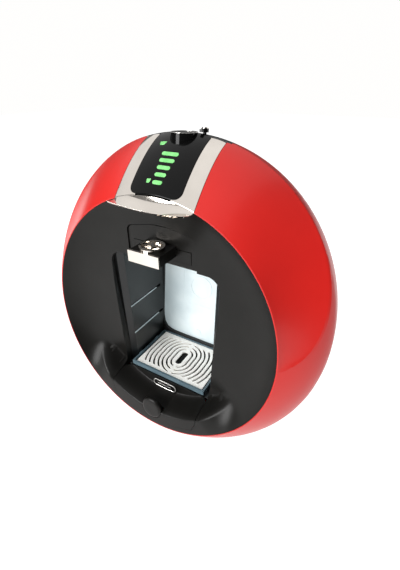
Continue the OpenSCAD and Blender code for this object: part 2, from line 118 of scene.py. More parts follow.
@dataclass(frozen=True)
class Finish:
    """A moulded, plated or rolled surface with mottling, grain and polish variation."""

    name: str
    colour: str
    shade: str
    mottle_mm: float = 40.0
    grain_mm: float = 0.8
    grain_depth_mm: float = 0.01
    rough: tuple[float, float] = (0.3, 0.4)
    metallic: float = 0.0
    ior: float = 1.5
    coat: float = 0.0
    transmission: float = 0.0
    glow: float = 0.0
    brushed: bool = False

    def build(self) -> bpy.types.Material:
        """Builds the material, or returns the one already made.

        Returns:
            The procedural material of this finish.
        """
        made = bpy.data.materials.get(self.name)
        if made:
            return made
        material = bpy.data.materials.new(self.name)
        material.use_nodes = True
        tree = material.node_tree
        shader = tree.nodes["Principled BSDF"]
        place = add_node(tree, "ShaderNodeTexCoord").outputs["Object"]
        stretch = (1.0, 1.0, BRUSH_STRETCH) if self.brushed else (1.0, 1.0, 1.0)
        laid = add_node(tree, "ShaderNodeMapping", {"input:Scale": stretch}, {"Vector": place})
        mottle = add_node(tree, "ShaderNodeTexNoise",
                          {"input:Scale": 1000 / self.mottle_mm, "input:Detail": 4.0}, {"Vector": place})
        grain = add_node(tree, "ShaderNodeTexNoise",
                         {"input:Scale": 1000 / self.grain_mm, "input:Detail": 3.0},
                         {"Vector": laid.outputs["Vector"]})
        spread = add_node(tree, "ShaderNodeMapRange", {"input:From Min": MOTTLE_BAND[0],
                                                       "input:From Max": MOTTLE_BAND[1]},
                          {"Value": mottle.outputs["Fac"]})
        tint = add_node(tree, "ShaderNodeMix", {"data_type": "RGBA", "input:6": linear(self.colour),
                                                "input:7": linear(self.shade)}, {0: spread.outputs[0]})
        polish = add_node(tree, "ShaderNodeMapRange", {"input:To Min": self.rough[0],
                                                       "input:To Max": self.rough[1]},
                          {"Value": grain.outputs["Fac"]})
        bump = add_node(tree, "ShaderNodeBump", {"input:Distance": self.grain_depth_mm * MM,
                                                 "input:Strength": BUMP_STRENGTH},
                        {"Height": grain.outputs["Fac"]})
        tree.links.new(tint.outputs[2], shader.inputs["Base Color"])
        tree.links.new(polish.outputs[0], shader.inputs["Roughness"])
        tree.links.new(bump.outputs[0], shader.inputs["Normal"])
        shader.inputs["Metallic"].default_value = self.metallic
        if self.metallic < METAL_FROM:
            shader.inputs["IOR"].default_value = self.ior
        shader.inputs["Coat Weight"].default_value = self.coat
        shader.inputs["Coat Roughness"].default_value = COAT_ROUGH
        shader.inputs["Transmission Weight"].default_value = self.transmission
        if self.glow > 0:
            tree.links.new(tint.outputs[2], shader.inputs["Emission Color"])
            shader.inputs["Emission Strength"].default_value = self.glow
        return material


class Finishes(Enum):
    """Every finish on the machine."""

    # Gloss ABS from a polished mould: deep red, a broad soft highlight and faint flow of the melt.
    RED = Finish("red_gloss_abs", "#c61a13", "#be1610", 90.0, 1.5, 0.002, (0.3, 0.36), ior=1.42, coat=0.06)
    # Satin spark-eroded ABS: soft wide highlights on near-black, a fine even grain.
    FASCIA = Finish("satin_black_abs", "#0e0d0b", "#12110f", 30.0, 0.5, 0.02, (0.32, 0.4), ior=1.28)
    # Textured polypropylene of the hidden rear parts: duller and rougher than the front.
    REAR = Finish("grained_black_pp", "#191919", "#1f1f1f", 25.0, 1.1, 0.06, (0.5, 0.62), ior=1.49)
    # Smooth moulded tunnel lining: satin, picks up pale light from the tank.
    TUNNEL = Finish("tunnel_lining_abs", "#0e1011", "#131516", 35.0, 0.6, 0.015, (0.3, 0.4))
    # Piano-black acrylic over the lit bars: mirror smooth.
    PIANO = Finish("piano_black_acrylic", "#050505", "#080808", 60.0, 2.0, 0.001, (0.08, 0.12), ior=1.25)
    # Chrome plated ABS: warm mirror with very slight plating ripple.
    CHROME = Finish("chrome_plated_abs", "#dcd5cd", "#d2cbc3", 35.0, 6.0, 0.006, (0.06, 0.11), metallic=1.0)
    # Satin aluminium badge foil: diffuse bright metal.
    BADGE = Finish("satin_badge_foil", "#e6e4e0", "#dcdad6", 8.0, 0.3, 0.004, (0.28, 0.36), metallic=0.9)
    # Stamped stainless sheet, polished after punching: bright with a fine even grain.
    # A weak glow and little metal stand for the bright tunnel mouth that it mirrors.
    GRILL = Finish("polished_stainless", "#fdfbf6", "#f6f4ef", 20.0, 0.6, 0.006, (0.24, 0.34),
                   metallic=0.15, glow=0.14)
    # Turned and zinc plated steel of pins and brackets: grey, drawn lines.
    STEEL = Finish("zinc_plated_steel", "#a9abad", "#9a9c9f", 12.0, 0.5, 0.01, (0.3, 0.42),
                   metallic=1.0, brushed=True)
    # Blue-grey translucent SAN of the drip tray: light gathers in its edges.
    TRAY = Finish("tray_translucent_san", "#667d88", "#758c96", 20.0, 1.0, 0.004, (0.12, 0.2),
                  ior=1.57, transmission=0.35)
    # Frosted translucent SAN of the tank: pale, cool, lightly diffusing.
    # A weak glow stands for the daylight that comes through it from behind.
    TANK = Finish("tank_translucent_san", "#dde7e9", "#c2d0d4", 60.0, 1.2, 0.006, (0.14, 0.24), ior=1.5,
                  transmission=0.15, glow=0.2)
    # Lit light-guide windows of moulded acrylic: saturated green with an even glow.
    LIT = Finish("lit_green_window", "#74bd72", "#5fae5e", 6.0, 1.0, 0.0, (0.3, 0.35), glow=0.5)
    # Natural rubber feet and mounts: matte, slightly dusty.
    RUBBER = Finish("soft_black_rubber", "#141414", "#1d1c1b", 6.0, 0.7, 0.05, (0.7, 0.85))
    # Silicone hose: milky, smooth.
    SILICONE = Finish("milky_silicone", "#d9d8d2", "#cfcec8", 8.0, 0.9, 0.004, (0.35, 0.45), transmission=0.2)
    # Die-cast aluminium boiler block: coarse skin, dull shine.
    CAST = Finish("die_cast_aluminium", "#a8aaab", "#93969a", 9.0, 0.9, 0.05, (0.42, 0.58), metallic=1.0)
    # Brass tab terminals: punched strip.
    BRASS = Finish("brass_tab", "#c4a157", "#b8934a", 4.0, 0.3, 0.004, (0.25, 0.35), metallic=1.0)
    # Glass-filled nylon frame: grey with visible fibre streaks.
    FRAME = Finish("glass_filled_nylon", "#3c3d40", "#46474a", 14.0, 0.8, 0.03, (0.5, 0.62))
    # White acetal of meter and valve.
    ACETAL = Finish("white_acetal", "#e4e3df", "#dbdad5", 10.0, 0.5, 0.004, (0.3, 0.4))
    # Lacquered circuit board: green solder mask.
    BOARD = Finish("solder_mask_board", "#124a24", "#185a2d", 6.0, 0.4, 0.01, (0.25, 0.4))


# ------------------------------------------------------------------ form of the body
@dataclass(frozen=True)
class BodyForm:
    """The leaning round body: red skin, dished face and its place above the table.

    Angles run round the body from its right side (0) over the top (90 degrees).
    """

    disc_r: float = 119.0
    ring_r: float = 150.2
    ring_rise: float = 16.04
    lean_deg: float = 7.0
    wall: float = 3.0
    shell_gap: float = 0.2
    seam: float = 0.3
    # Chrome bands, spine, panel and red covers along the top skin
    band_out: float = 38.3
    band_in: float = 25.0
    band_end: float = 45.0
    spine_half: float = 42.2
    panel_end: float = 56.0
    cover_end: float = 82.0
    # Depth of the belly's crest at the sides, its gain towards the top, and the curves either way
    crest_side: float = 33.96
    crest_gain: float = 13.33
    crest_power: float = 1.5
    crest_fall: float = 166.4
    # Crease between the front scoop and the belly
    crease_from_deg: float = 2.17
    crease_span_deg: float = 63.0
    crease_depth: float = 47.04
    crease_power: float = 0.5235
    crease_least: float = 1e-4
    # The scoop is hollow low on the sides and bulges towards the handle
    scoop_from_deg: float = 2.3
    hollow: float = -0.42
    hollow_gain: float = 0.943
    hollow_from_deg: float = 28.0
    hollow_span_deg: float = 39.0
    # Shell walls thin out towards the disc's edge
    thin_edge: float = 0.6
    thin_slope: float = 0.65
    # Floor of the dished face, its rim and its chin
    dish_depth: float = 17.9
    dish_slope: float = 0.085
    dish_curve: float = 0.00049
    dish_low: float = -62.0
    dish_power: int = 6
    chin_from: float = 0.55
    chin_span: float = 0.3
    chin_r: float = 102.5
    chin_run: float = 11.0
    # Search for the angle of a line on the skin
    first_r: float = 150.0
    edge_steps: int = 5
    pin_at: tuple[float, float] = (54.0, 154.5)
    origin: tuple[float, float] = (0.0, 0.0)

    @property
    def turn(self) -> tuple[float, float]:
        """Cosine and sine of the lean."""
        angle = math.radians(self.lean_deg)
        return math.cos(angle), math.sin(angle)

    def upright(self, points: Array) -> Array:
        """Moves points from the disc's centre to the machine's frame.

        Args:
            points: Places (x, y, z) about the disc's centre in millimetres.

        Returns:
            The places in metres.
        """
        moved = np.array(points, float)
        moved[..., 1] += self.origin[0]
        moved[..., 2] += self.origin[1]
        return moved * MM

    def leaned(self, points: Array) -> Array:
        """Leans points with the body and moves them to the machine's frame.

        Args:
            points: Places (x, depth, height along the face) in millimetres.

        Returns:
            The places in metres.
        """
        c, s = self.turn
        p = np.asarray(points, float)
        out = np.stack([p[..., 0], p[..., 1] * c + p[..., 2] * s, -p[..., 1] * s + p[..., 2] * c], -1)
        return self.upright(out)

    def belly(self, a: Array, y: Array) -> Array:
        """Radius of the rounded ring without the scoop.

        Args:
            a: Angles in radians.
            y: Depths behind the face.

        Returns:
            The radii.
        """
        s = np.sin(a)
        full = self.ring_rise * s + np.sqrt(self.ring_r ** 2 - (self.ring_rise * np.cos(a)) ** 2)
        crest = self.crest_side + self.crest_gain * s
        rise = 1 - np.maximum(0, 1 - y / crest) ** self.crest_power
        fall = np.maximum(0, y - crest) ** 2 / self.crest_fall
        return self.disc_r + (full - self.disc_r) * rise - fall

    @staticmethod
    def folded(a: Array) -> Array:
        """Degrees up from the nearer side of the body at angle a (radians)."""
        degrees = np.degrees(a)
        return np.where(degrees > 90, 180 - degrees, degrees)

    def scoop_depth(self, a: Array) -> Array:
        """Depth of the crease between scoop and belly.

        Args:
            a: Angles in radians.

        Returns:
            The depths.
        """
        u = np.clip((self.folded(a) - self.crease_from_deg) / self.crease_span_deg, 0, 1)
        rise = np.maximum(self.crease_least, np.sin(np.radians(90 * u)))
        return self.crease_depth * rise ** self.crease_power

    def skin(self, a: Array, y: Array) -> Array:
        """Radius of the outer skin.

        Args:
            a: Angles in radians.
            y: Depths behind the face.

        Returns:
            The radii.
        """
        a, y = np.broadcast_arrays(np.asarray(a, float), np.asarray(y, float))
        plain = self.belly(a, y)
        depth = self.scoop_depth(a)
        g = y / depth
        folded = self.folded(a)
        filled = smooth((folded - self.hollow_from_deg) / self.hollow_span_deg)
        bulge = self.hollow + self.hollow_gain * filled
        scoop = self.disc_r + (self.belly(a, depth) - self.disc_r) * (g + bulge * g * (1 - g))
        return np.where((y < depth) & (folded > self.scoop_from_deg), np.minimum(plain, scoop), plain)

    def edge(self, x: Array, y: Array, inset: float | Array = 0.0) -> Array:
        """Angle at which the skin, less an inset, stands x from the middle.

        Args:
            x: Distances from the middle.
            y: Depths behind the face.
            inset: How far inside the skin the line runs.

        Returns:
            The angles in radians.
        """
        a = np.arccos(np.asarray(x, float) / self.first_r)
        for _ in range(self.edge_steps):
            a = np.arccos(np.asarray(x, float) / (self.skin(a, y) - inset))
        return a

    def top_point(self, x: Array, y: Array, sink: float | Array = 0.0) -> Array:
        """Places on the top skin.

        Args:
            x: Distances from the middle.
            y: Depths behind the face.
            sink: How far the places are sunk straight down.

        Returns:
            Places (x, depth, height along the face).
        """
        x, y = np.broadcast_arrays(np.asarray(x, float), np.asarray(y, float))
        a = self.edge(x, y)
        return np.stack([x, y, self.skin(a, y) * np.sin(a) - sink], -1)

    def thick(self, y: Array) -> Array:
        """Wall thickness at depth y."""
        return np.minimum(self.wall + self.shell_gap, self.thin_edge + self.thin_slope * np.asarray(y, float))

    def dish(self, x: Array, w: Array) -> Array:
        """Depth of the dished black face.

        Args:
            x: Distances from the middle.
            w: Heights along the face.

        Returns:
            The depths.
        """
        x, w = np.asarray(x, float), np.asarray(w, float)
        r = np.hypot(x, w)
        k = smooth((-w / np.maximum(1, r) - self.chin_from) / self.chin_span)
        v = np.maximum(w, self.dish_low)
        floor = self.dish_depth - self.dish_slope * v + self.dish_curve * v * v
        wide = 1 - np.clip(r / self.disc_r, 0, 1) ** self.dish_power
        return floor * ((1 - k) * wide + k * smooth((self.chin_r - r) / self.chin_run))


def smooth(v: Array) -> Array:
    """Smooth step from 0 to 1."""
    u = np.clip(v, 0, 1)
    return u * u * (3 - 2 * u)


def arc(centre: tuple[float, float], r: float, a0: float, a1: float, n: int) -> Array:
    """Points of an arc.

    Args:
        centre: Centre of the arc.
        r: Radius.
        a0: First angle in degrees.
        a1: Last angle in degrees.
        n: Number of points.

    Returns:
        The points, n by 2.
    """
    a = np.radians(np.linspace(a0, a1, n))
    return np.column_stack([centre[0] + r * np.cos(a), centre[1] + r * np.sin(a)])


# ------------------------------------------------------------------ mesh building
@dataclass
class Workshop:
    """Makes mesh objects and attaches them to the machine's moving bodies."""

    form: BodyForm
    made: int = 0
    merge_m: float = 1e-6
    tiny_edge_m: float = 1e-7

    def mesh(self, name: str, points: Array, faces: Iterable[Sequence[int]], finish: Finishes,
             bevel_mm: float = 0.0, sharp_deg: float = 35.0) -> bpy.types.Object:
        """Makes a mesh object at the origin with smooth shading and sharp edges kept.

        Args:
            name: Object name.
            points: Vertex places in metres.
            faces: Vertex numbers of each face.
            finish: Surface finish.
            bevel_mm: Width of a rounded edge on sharp corners, or 0 for none.
            sharp_deg: Faces that meet at more than this stay sharp.

        Returns:
            The new object.
        """
        data = bpy.data.meshes.new(name)
        data.from_pydata([tuple(p) for p in np.asarray(points).reshape(-1, 3)], [], [tuple(f) for f in faces])
        data.validate()
        obj = bpy.data.objects.new(name, data)
        bpy.context.scene.collection.objects.link(obj)
        self.clean(obj)
        return self.dress(obj, finish, bevel_mm, sharp_deg)

    def clean(self, obj: bpy.types.Object) -> None:
        """Merges doubled points and turns all faces outwards.

        Args:
            obj: Piece whose mesh is cleaned.
        """
        shape = bmesh.new()
        shape.from_mesh(obj.data)
        bmesh.ops.remove_doubles(shape, verts=shape.verts, dist=self.merge_m)
        bmesh.ops.dissolve_degenerate(shape, dist=self.tiny_edge_m, edges=shape.edges)
        bmesh.ops.recalc_face_normals(shape, faces=shape.faces)
        shape.to_mesh(obj.data)
        shape.free()

    @staticmethod
    def dress(obj: bpy.types.Object, finish: Finishes, bevel_mm: float = 0.0,
              sharp_deg: float = 35.0) -> bpy.types.Object:
        """Gives a piece its finish, shading and rounded edges.

        Args:
            obj: Piece to dress.
            finish: Surface finish.
            bevel_mm: Width of the rounded edges, or 0 for none.
            sharp_deg: Angle above which an edge stays sharp.

        Returns:
            The same object.
        """
        obj.data.materials.clear()
        obj.data.materials.append(finish.value.build())
        obj.data.shade_smooth()
        if bevel_mm > 0:
            bevel = obj.modifiers.new("rounded_edges", "BEVEL")
            bevel.width = bevel_mm * MM
            bevel.segments = 3
            bevel.limit_method = "ANGLE"
            bevel.angle_limit = math.radians(sharp_deg)
            bevel.harden_normals = True
        obj.data.set_sharp_from_angle(angle=math.radians(sharp_deg))
        return obj

    def slab(self, name: str, outer: Array, inner: Array, finish: Finishes, bevel_mm: float,
             sharp_deg: float) -> bpy.types.Object:
        """Makes a closed shell between two grids of points.

        Args:
            name: Object name.
            outer: Grid of outer points, rows by columns by 3, in metres.
            inner: Grid of inner points of the same size.
            finish: Surface finish.
            bevel_mm: Rounded edge width.
            sharp_deg: Angle above which an edge stays sharp.

        Returns:
            The shell.
        """
        nu, nv = outer.shape[0] - 1, outer.shape[1] - 1
        side = (nu + 1) * (nv + 1)

        def face(*corners: tuple[int, int, int]) -> list[int]:
            """Vertex numbers of a face from its corners (row, column, side)."""
            return [s * side + i * (nv + 1) + j for i, j, s in corners]

        faces = []
        for i in range(nu):
            for j in range(nv):
                faces.append(face((i, j, 0), (i, j + 1, 0), (i + 1, j + 1, 0), (i + 1, j, 0)))
                faces.append(face((i, j, 1), (i + 1, j, 1), (i + 1, j + 1, 1), (i, j + 1, 1)))
        for i in range(nu):
            faces.append(face((i, 0, 0), (i + 1, 0, 0), (i + 1, 0, 1), (i, 0, 1)))
            faces.append(face((i + 1, nv, 0), (i, nv, 0), (i, nv, 1), (i + 1, nv, 1)))
        for j in range(nv):
            faces.append(face((0, j + 1, 0), (0, j, 0), (0, j, 1), (0, j + 1, 1)))
            faces.append(face((nu, j, 0), (nu, j + 1, 0), (nu, j + 1, 1), (nu, j, 1)))
        return self.mesh(name, np.concatenate([outer.reshape(-1, 3), inner.reshape(-1, 3)]), faces, finish,
                         bevel_mm, sharp_deg)

    def ring(self, name: str, rows: Array, finish: Finishes, bevel_mm: float,
             sharp_deg: float) -> bpy.types.Object:
        """Makes a closed ring from sections that are closed curves.

        Args:
            name: Object name.
            rows: Sections round the ring, rows by points by 3, in metres.
            finish: Surface finish.
            bevel_mm: Rounded edge width.
            sharp_deg: Angle above which an edge stays sharp.

        Returns:
            The ring.
        """
        n, m = rows.shape[0], rows.shape[1]
        faces = [[(i % n) * m + j % m, (i % n) * m + (j + 1) % m, ((i + 1) % n) * m + (j + 1) % m,
                  ((i + 1) % n) * m + j % m] for i in range(n) for j in range(m)]
        return self.mesh(name, rows, faces, finish, bevel_mm, sharp_deg)

    def lathe(self, name: str, rows: Array, finish: Finishes, sharp_deg: float) -> bpy.types.Object:
        """Makes a turned piece from the places of its profile at each step round.

        Args:
            name: Object name.
            rows: Profiles that start and end on the axis, rows by points by 3, in leaned millimetres.
            finish: Surface finish.
            sharp_deg: Angle above which an edge stays sharp.

        Returns:
            The turned piece.
        """
        n, m = rows.shape[0], rows.shape[1]
        faces = [[i * m + j, i * m + j + 1, ((i + 1) % n) * m + j + 1, ((i + 1) % n) * m + j]
                 for i in range(n) for j in range(m - 1)]
        return self.mesh(name, self.form.leaned(rows), faces, finish, 0.0, sharp_deg)

    def prism(self, name: str, ends: Sequence[Array], finish: Finishes, bevel_mm: float) -> bpy.types.Object:
        """Makes a prism from its two ends.

        Args:
            name: Object name.
            ends: Outlines of the two ends, with as many points each, in metres.
            finish: Surface finish.
            bevel_mm: Rounded edge width.

        Returns:
            The prism.
        """
        n = len(ends[0])
        faces = [list(range(n)), list(range(2 * n - 1, n - 1, -1))]
        faces += [[i, (i + 1) % n, n + (i + 1) % n, n + i] for i in range(n)]
        return self.mesh(name, np.concatenate(ends), faces, finish, bevel_mm)

    def block(self, name: str, outline: Array, low: float, high: float, place: Callable[[Array], Array],
              finish: Finishes, bevel_mm: float) -> bpy.types.Object:
        """Makes a straight prism from a closed outline.

        Args:
            name: Object name.
            outline: Points (a, b) of the outline in millimetres.
            low: Start of the prism along its third direction.
            high: End of the prism.
            place: Turns (a, b, c) points into metres in the machine's frame.
            finish: Surface finish.
            bevel_mm: Rounded edge width.

        Returns:
            The prism.
        """
        flat = np.asarray(outline, float)
        ends = [place(np.column_stack([flat, np.full(len(flat), c)])) for c in (low, high)]
        return self.prism(name, ends, finish, bevel_mm)

    def hand_over(self, obj: bpy.types.Object, body: str, slot: str, *nodes: str) -> bpy.types.Object:
        """Attaches a finished piece to its moving body and hides the CAD nodes it stands for.

        Args:
            obj: The piece.
            body: Moving body that it rides on.
            slot: Its material slot; not used.
            nodes: CAD nodes that it stands for, or none for trim.

        Returns:
            The same object.
        """
        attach(obj, body)
        if nodes:
            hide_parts(*nodes)
        self.made += 1
        LOG.info("made %s for %s", obj.name, ", ".join(nodes) or body)
        return obj

    @staticmethod
    def cut(obj: bpy.types.Object, cutter: bpy.types.Object) -> None:
        """Cuts one mesh from another and removes the cutter.

        Args:
            obj: Piece to cut, which has no modifiers yet.
            cutter: Closed mesh that is cut away.
        """
        tool = obj.modifiers.new("cut", "BOOLEAN")
        tool.operation = "DIFFERENCE"
        tool.solver = "EXACT"
        tool.object = cutter
        view = bpy.context.evaluated_depsgraph_get()
        view.update()
        data = bpy.data.meshes.new_from_object(obj.evaluated_get(view))
        obj.modifiers.remove(tool)
        obj.data = data
        bpy.data.objects.remove(cutter)


class Item(Enum):
    """Shape repeated by the geometry nodes tree."""

    BAR = "bar"
    DISC = "disc"


@dataclass
class Repeater:
    """Repeats a small shape on given points with Geometry Nodes."""

    shop: Workshop
    bar_corners: int = 4
    disc_corners: int = 24

    def shape(self, tree: bpy.types.NodeTree, item: Item) -> bpy.types.Node:
        """Adds the node that makes one shape of size 1.

        Args:
            tree: Tree that takes the node.
            item: Shape to make.

        Returns:
            The node.
        """
        if item is Item.BAR:
            return add_node(tree, "GeometryNodeMeshCube", {"input:Size": (1, 1, 1),
                                                           "input:Vertices X": self.bar_corners})
        return add_node(tree, "GeometryNodeMeshCylinder", {"input:Vertices": self.disc_corners,
                                                           "input:Side Segments": 1,
                                                           "input:Radius": 0.5, "input:Depth": 1.0})

    def tree(self, item: Item) -> bpy.types.NodeTree:
        """Builds or returns the tree that repeats one shape.

        Args:
            item: Shape to repeat.

        Returns:
            Tree with the inputs Size, Turn, Growth and Finish.
        """
        name = f"repeat_{item.value}"
        made = bpy.data.node_groups.get(name)
        if made:
            return made
        tree = bpy.data.node_groups.new(name, "GeometryNodeTree")
        face = tree.interface
        face.new_socket("Geometry", in_out="INPUT", socket_type="NodeSocketGeometry")
        for label, kind in (("Size", "NodeSocketVector"), ("Turn", "NodeSocketVector"),
                            ("Growth", "NodeSocketFloat"), ("Finish", "NodeSocketMaterial")):
            face.new_socket(label, in_out="INPUT", socket_type=kind)
        face.new_socket("Geometry", in_out="OUTPUT", socket_type="NodeSocketGeometry")
        entry = add_node(tree, "NodeGroupInput").outputs
        shape = self.shape(tree, item)
        index = add_node(tree, "GeometryNodeInputIndex")
        grown = add_node(tree, "ShaderNodeMath", {"operation": "MULTIPLY_ADD", "input:2": 1.0},
                         {0: index.outputs[0], 1: entry["Growth"]})
        spread = add_node(tree, "ShaderNodeCombineXYZ", {"input:Y": 1.0, "input:Z": 1.0},
                          {"X": grown.outputs[0]})
        scale = add_node(tree, "ShaderNodeVectorMath", {"operation": "MULTIPLY"},
                         {0: entry["Size"], 1: spread.outputs[0]})
        turn = add_node(tree, "FunctionNodeEulerToRotation", {}, {0: entry["Turn"]})
        laid = add_node(tree, "GeometryNodeInstanceOnPoints", {},
                        {"Points": entry["Geometry"], "Instance": shape.outputs["Mesh"],
                         "Rotation": turn.outputs[0], "Scale": scale.outputs[0]})
        real = add_node(tree, "GeometryNodeRealizeInstances", {}, {"Geometry": laid.outputs[0]})
        final = add_node(tree, "GeometryNodeSetMaterial", {}, {"Geometry": real.outputs[0],
                                                               "Material": entry["Finish"]})
        add_node(tree, "NodeGroupOutput", {}, {"Geometry": final.outputs[0]})
        return tree

    def place(self, name: str, item: Item, points: Array, size_mm: Sequence[float], finish: Finishes,
              turn: Sequence[float] = (0, 0, 0), growth: float = 0.0,
              bevel_mm: float = 0.0) -> bpy.types.Object:
        """Repeats a shape on points and returns the plain mesh.

        Args:
            name: Object name.
            item: Shape to repeat.
            points: Places in metres.
            size_mm: Size of one shape.
            finish: Surface finish.
            turn: Turn of each shape about X, Y and Z in radians.
            growth: How much wider each next shape is.
            bevel_mm: Rounded edge width.

        Returns:
            The piece.
        """
        seed = bpy.data.meshes.new(name + "_points")
        seed.from_pydata([tuple(p) for p in np.asarray(points).reshape(-1, 3)], [], [])
        carrier = bpy.data.objects.new(name + "_points", seed)
        bpy.context.scene.collection.objects.link(carrier)
        tree = self.tree(item)
        modifier = carrier.modifiers.new("repeat", "NODES")
        modifier.node_group = tree
        values = {"Size": [v * MM for v in size_mm], "Turn": list(turn), "Growth": growth,
                  "Finish": finish.value.build()}
        for socket in tree.interface.items_tree:
            if socket.in_out == "INPUT" and socket.name in values:
                modifier[socket.identifier] = values[socket.name]
        view = bpy.context.evaluated_depsgraph_get()
        view.update()
        data = bpy.data.meshes.new_from_object(carrier.evaluated_get(view))
        carrier.modifiers.remove(modifier)
        bpy.data.objects.remove(carrier)
        obj = bpy.data.objects.new(name, data)
        bpy.context.scene.collection.objects.link(obj)
        return self.shop.dress(obj, finish, bevel_mm)


# ------------------------------------------------------------------ sub-assemblies
MIRRORED = (("right", np.array([1, 1, 1])), ("left", np.array([-1, 1, 1])))


@dataclass
class RedCovers:
    """The two glossy side covers with their creased scoop."""

    shop: Workshop
    turns: int = 150
    scoop_rows: int = 26
    belly_rows: int = 22
    sweep_deg: float = 165.0
    # Shares of the way to the crease: plain rows, then rows close to it
    scoop_end: float = 0.93
    crease_shares: tuple[float, ...] = (0.972, 0.978, 1.0)
    belly_power: float = 1.15
    least_split: float = 5.0
    # The covers stand beside the bands in front of this depth and beside the spine behind it
    spine_from: float = 45.85
    rounds: int = 3
    sharp_deg: float = 7.0

    def depths(self, a: Array) -> Array:
        """Depth rows that follow the crease.

        Args:
            a: Angles in radians.

        Returns:
            Depths, angles by rows.
        """
        form = self.shop.form
        split = np.maximum(form.scoop_depth(a), self.least_split)
        front = np.concatenate([np.linspace(0, self.scoop_end, self.scoop_rows), self.crease_shares])
        back = np.linspace(0, 1, self.belly_rows)[1:] ** self.belly_power
        rows = [form.seam + (split - form.seam) * f for f in front]
        rows += [split + (form.cover_end - split) * f for f in back]
        return np.stack(rows, -1)

    def grid(self, inner: bool) -> Array:
        """Places on the right cover.

        Args:
            inner: Whether the places are on the inner side.

        Returns:
            Grid of places in leaned millimetres.
        """
        form = self.shop.form
        share = np.linspace(0, 1, self.turns + 1)[:, None]
        y = self.depths(-np.pi / 2 + share[:, 0] * np.radians(self.sweep_deg))
        for _ in range(self.rounds):
            sink = form.thick(y) if inner else 0.0
            side = np.where(y < self.spine_from, form.band_out + form.seam, form.spine_half + form.seam)
            low = -form.edge(np.full_like(y, form.seam), y)
            high = form.edge(side, y, sink)
            a = low + (high - low) * share
            y = self.depths(a.mean(axis=1))
        sink = form.thick(y) if inner else 0.0
        r = form.skin(a, y) - sink
        return np.stack([r * np.cos(a), y, r * np.sin(a)], -1)

    def build(self) -> None:
        """Builds both covers."""
        form = self.shop.form
        outer, inner = self.grid(False), self.grid(True)
        for hand, flip in MIRRORED:
            shell = self.shop.slab(f"red_cover_{hand}", form.leaned(outer * flip), form.leaned(inner * flip),
                                   Finishes.RED, 0.0, self.sharp_deg)
            self.shop.hand_over(shell, "machine", "red_gloss", f"side_cover_{hand}")


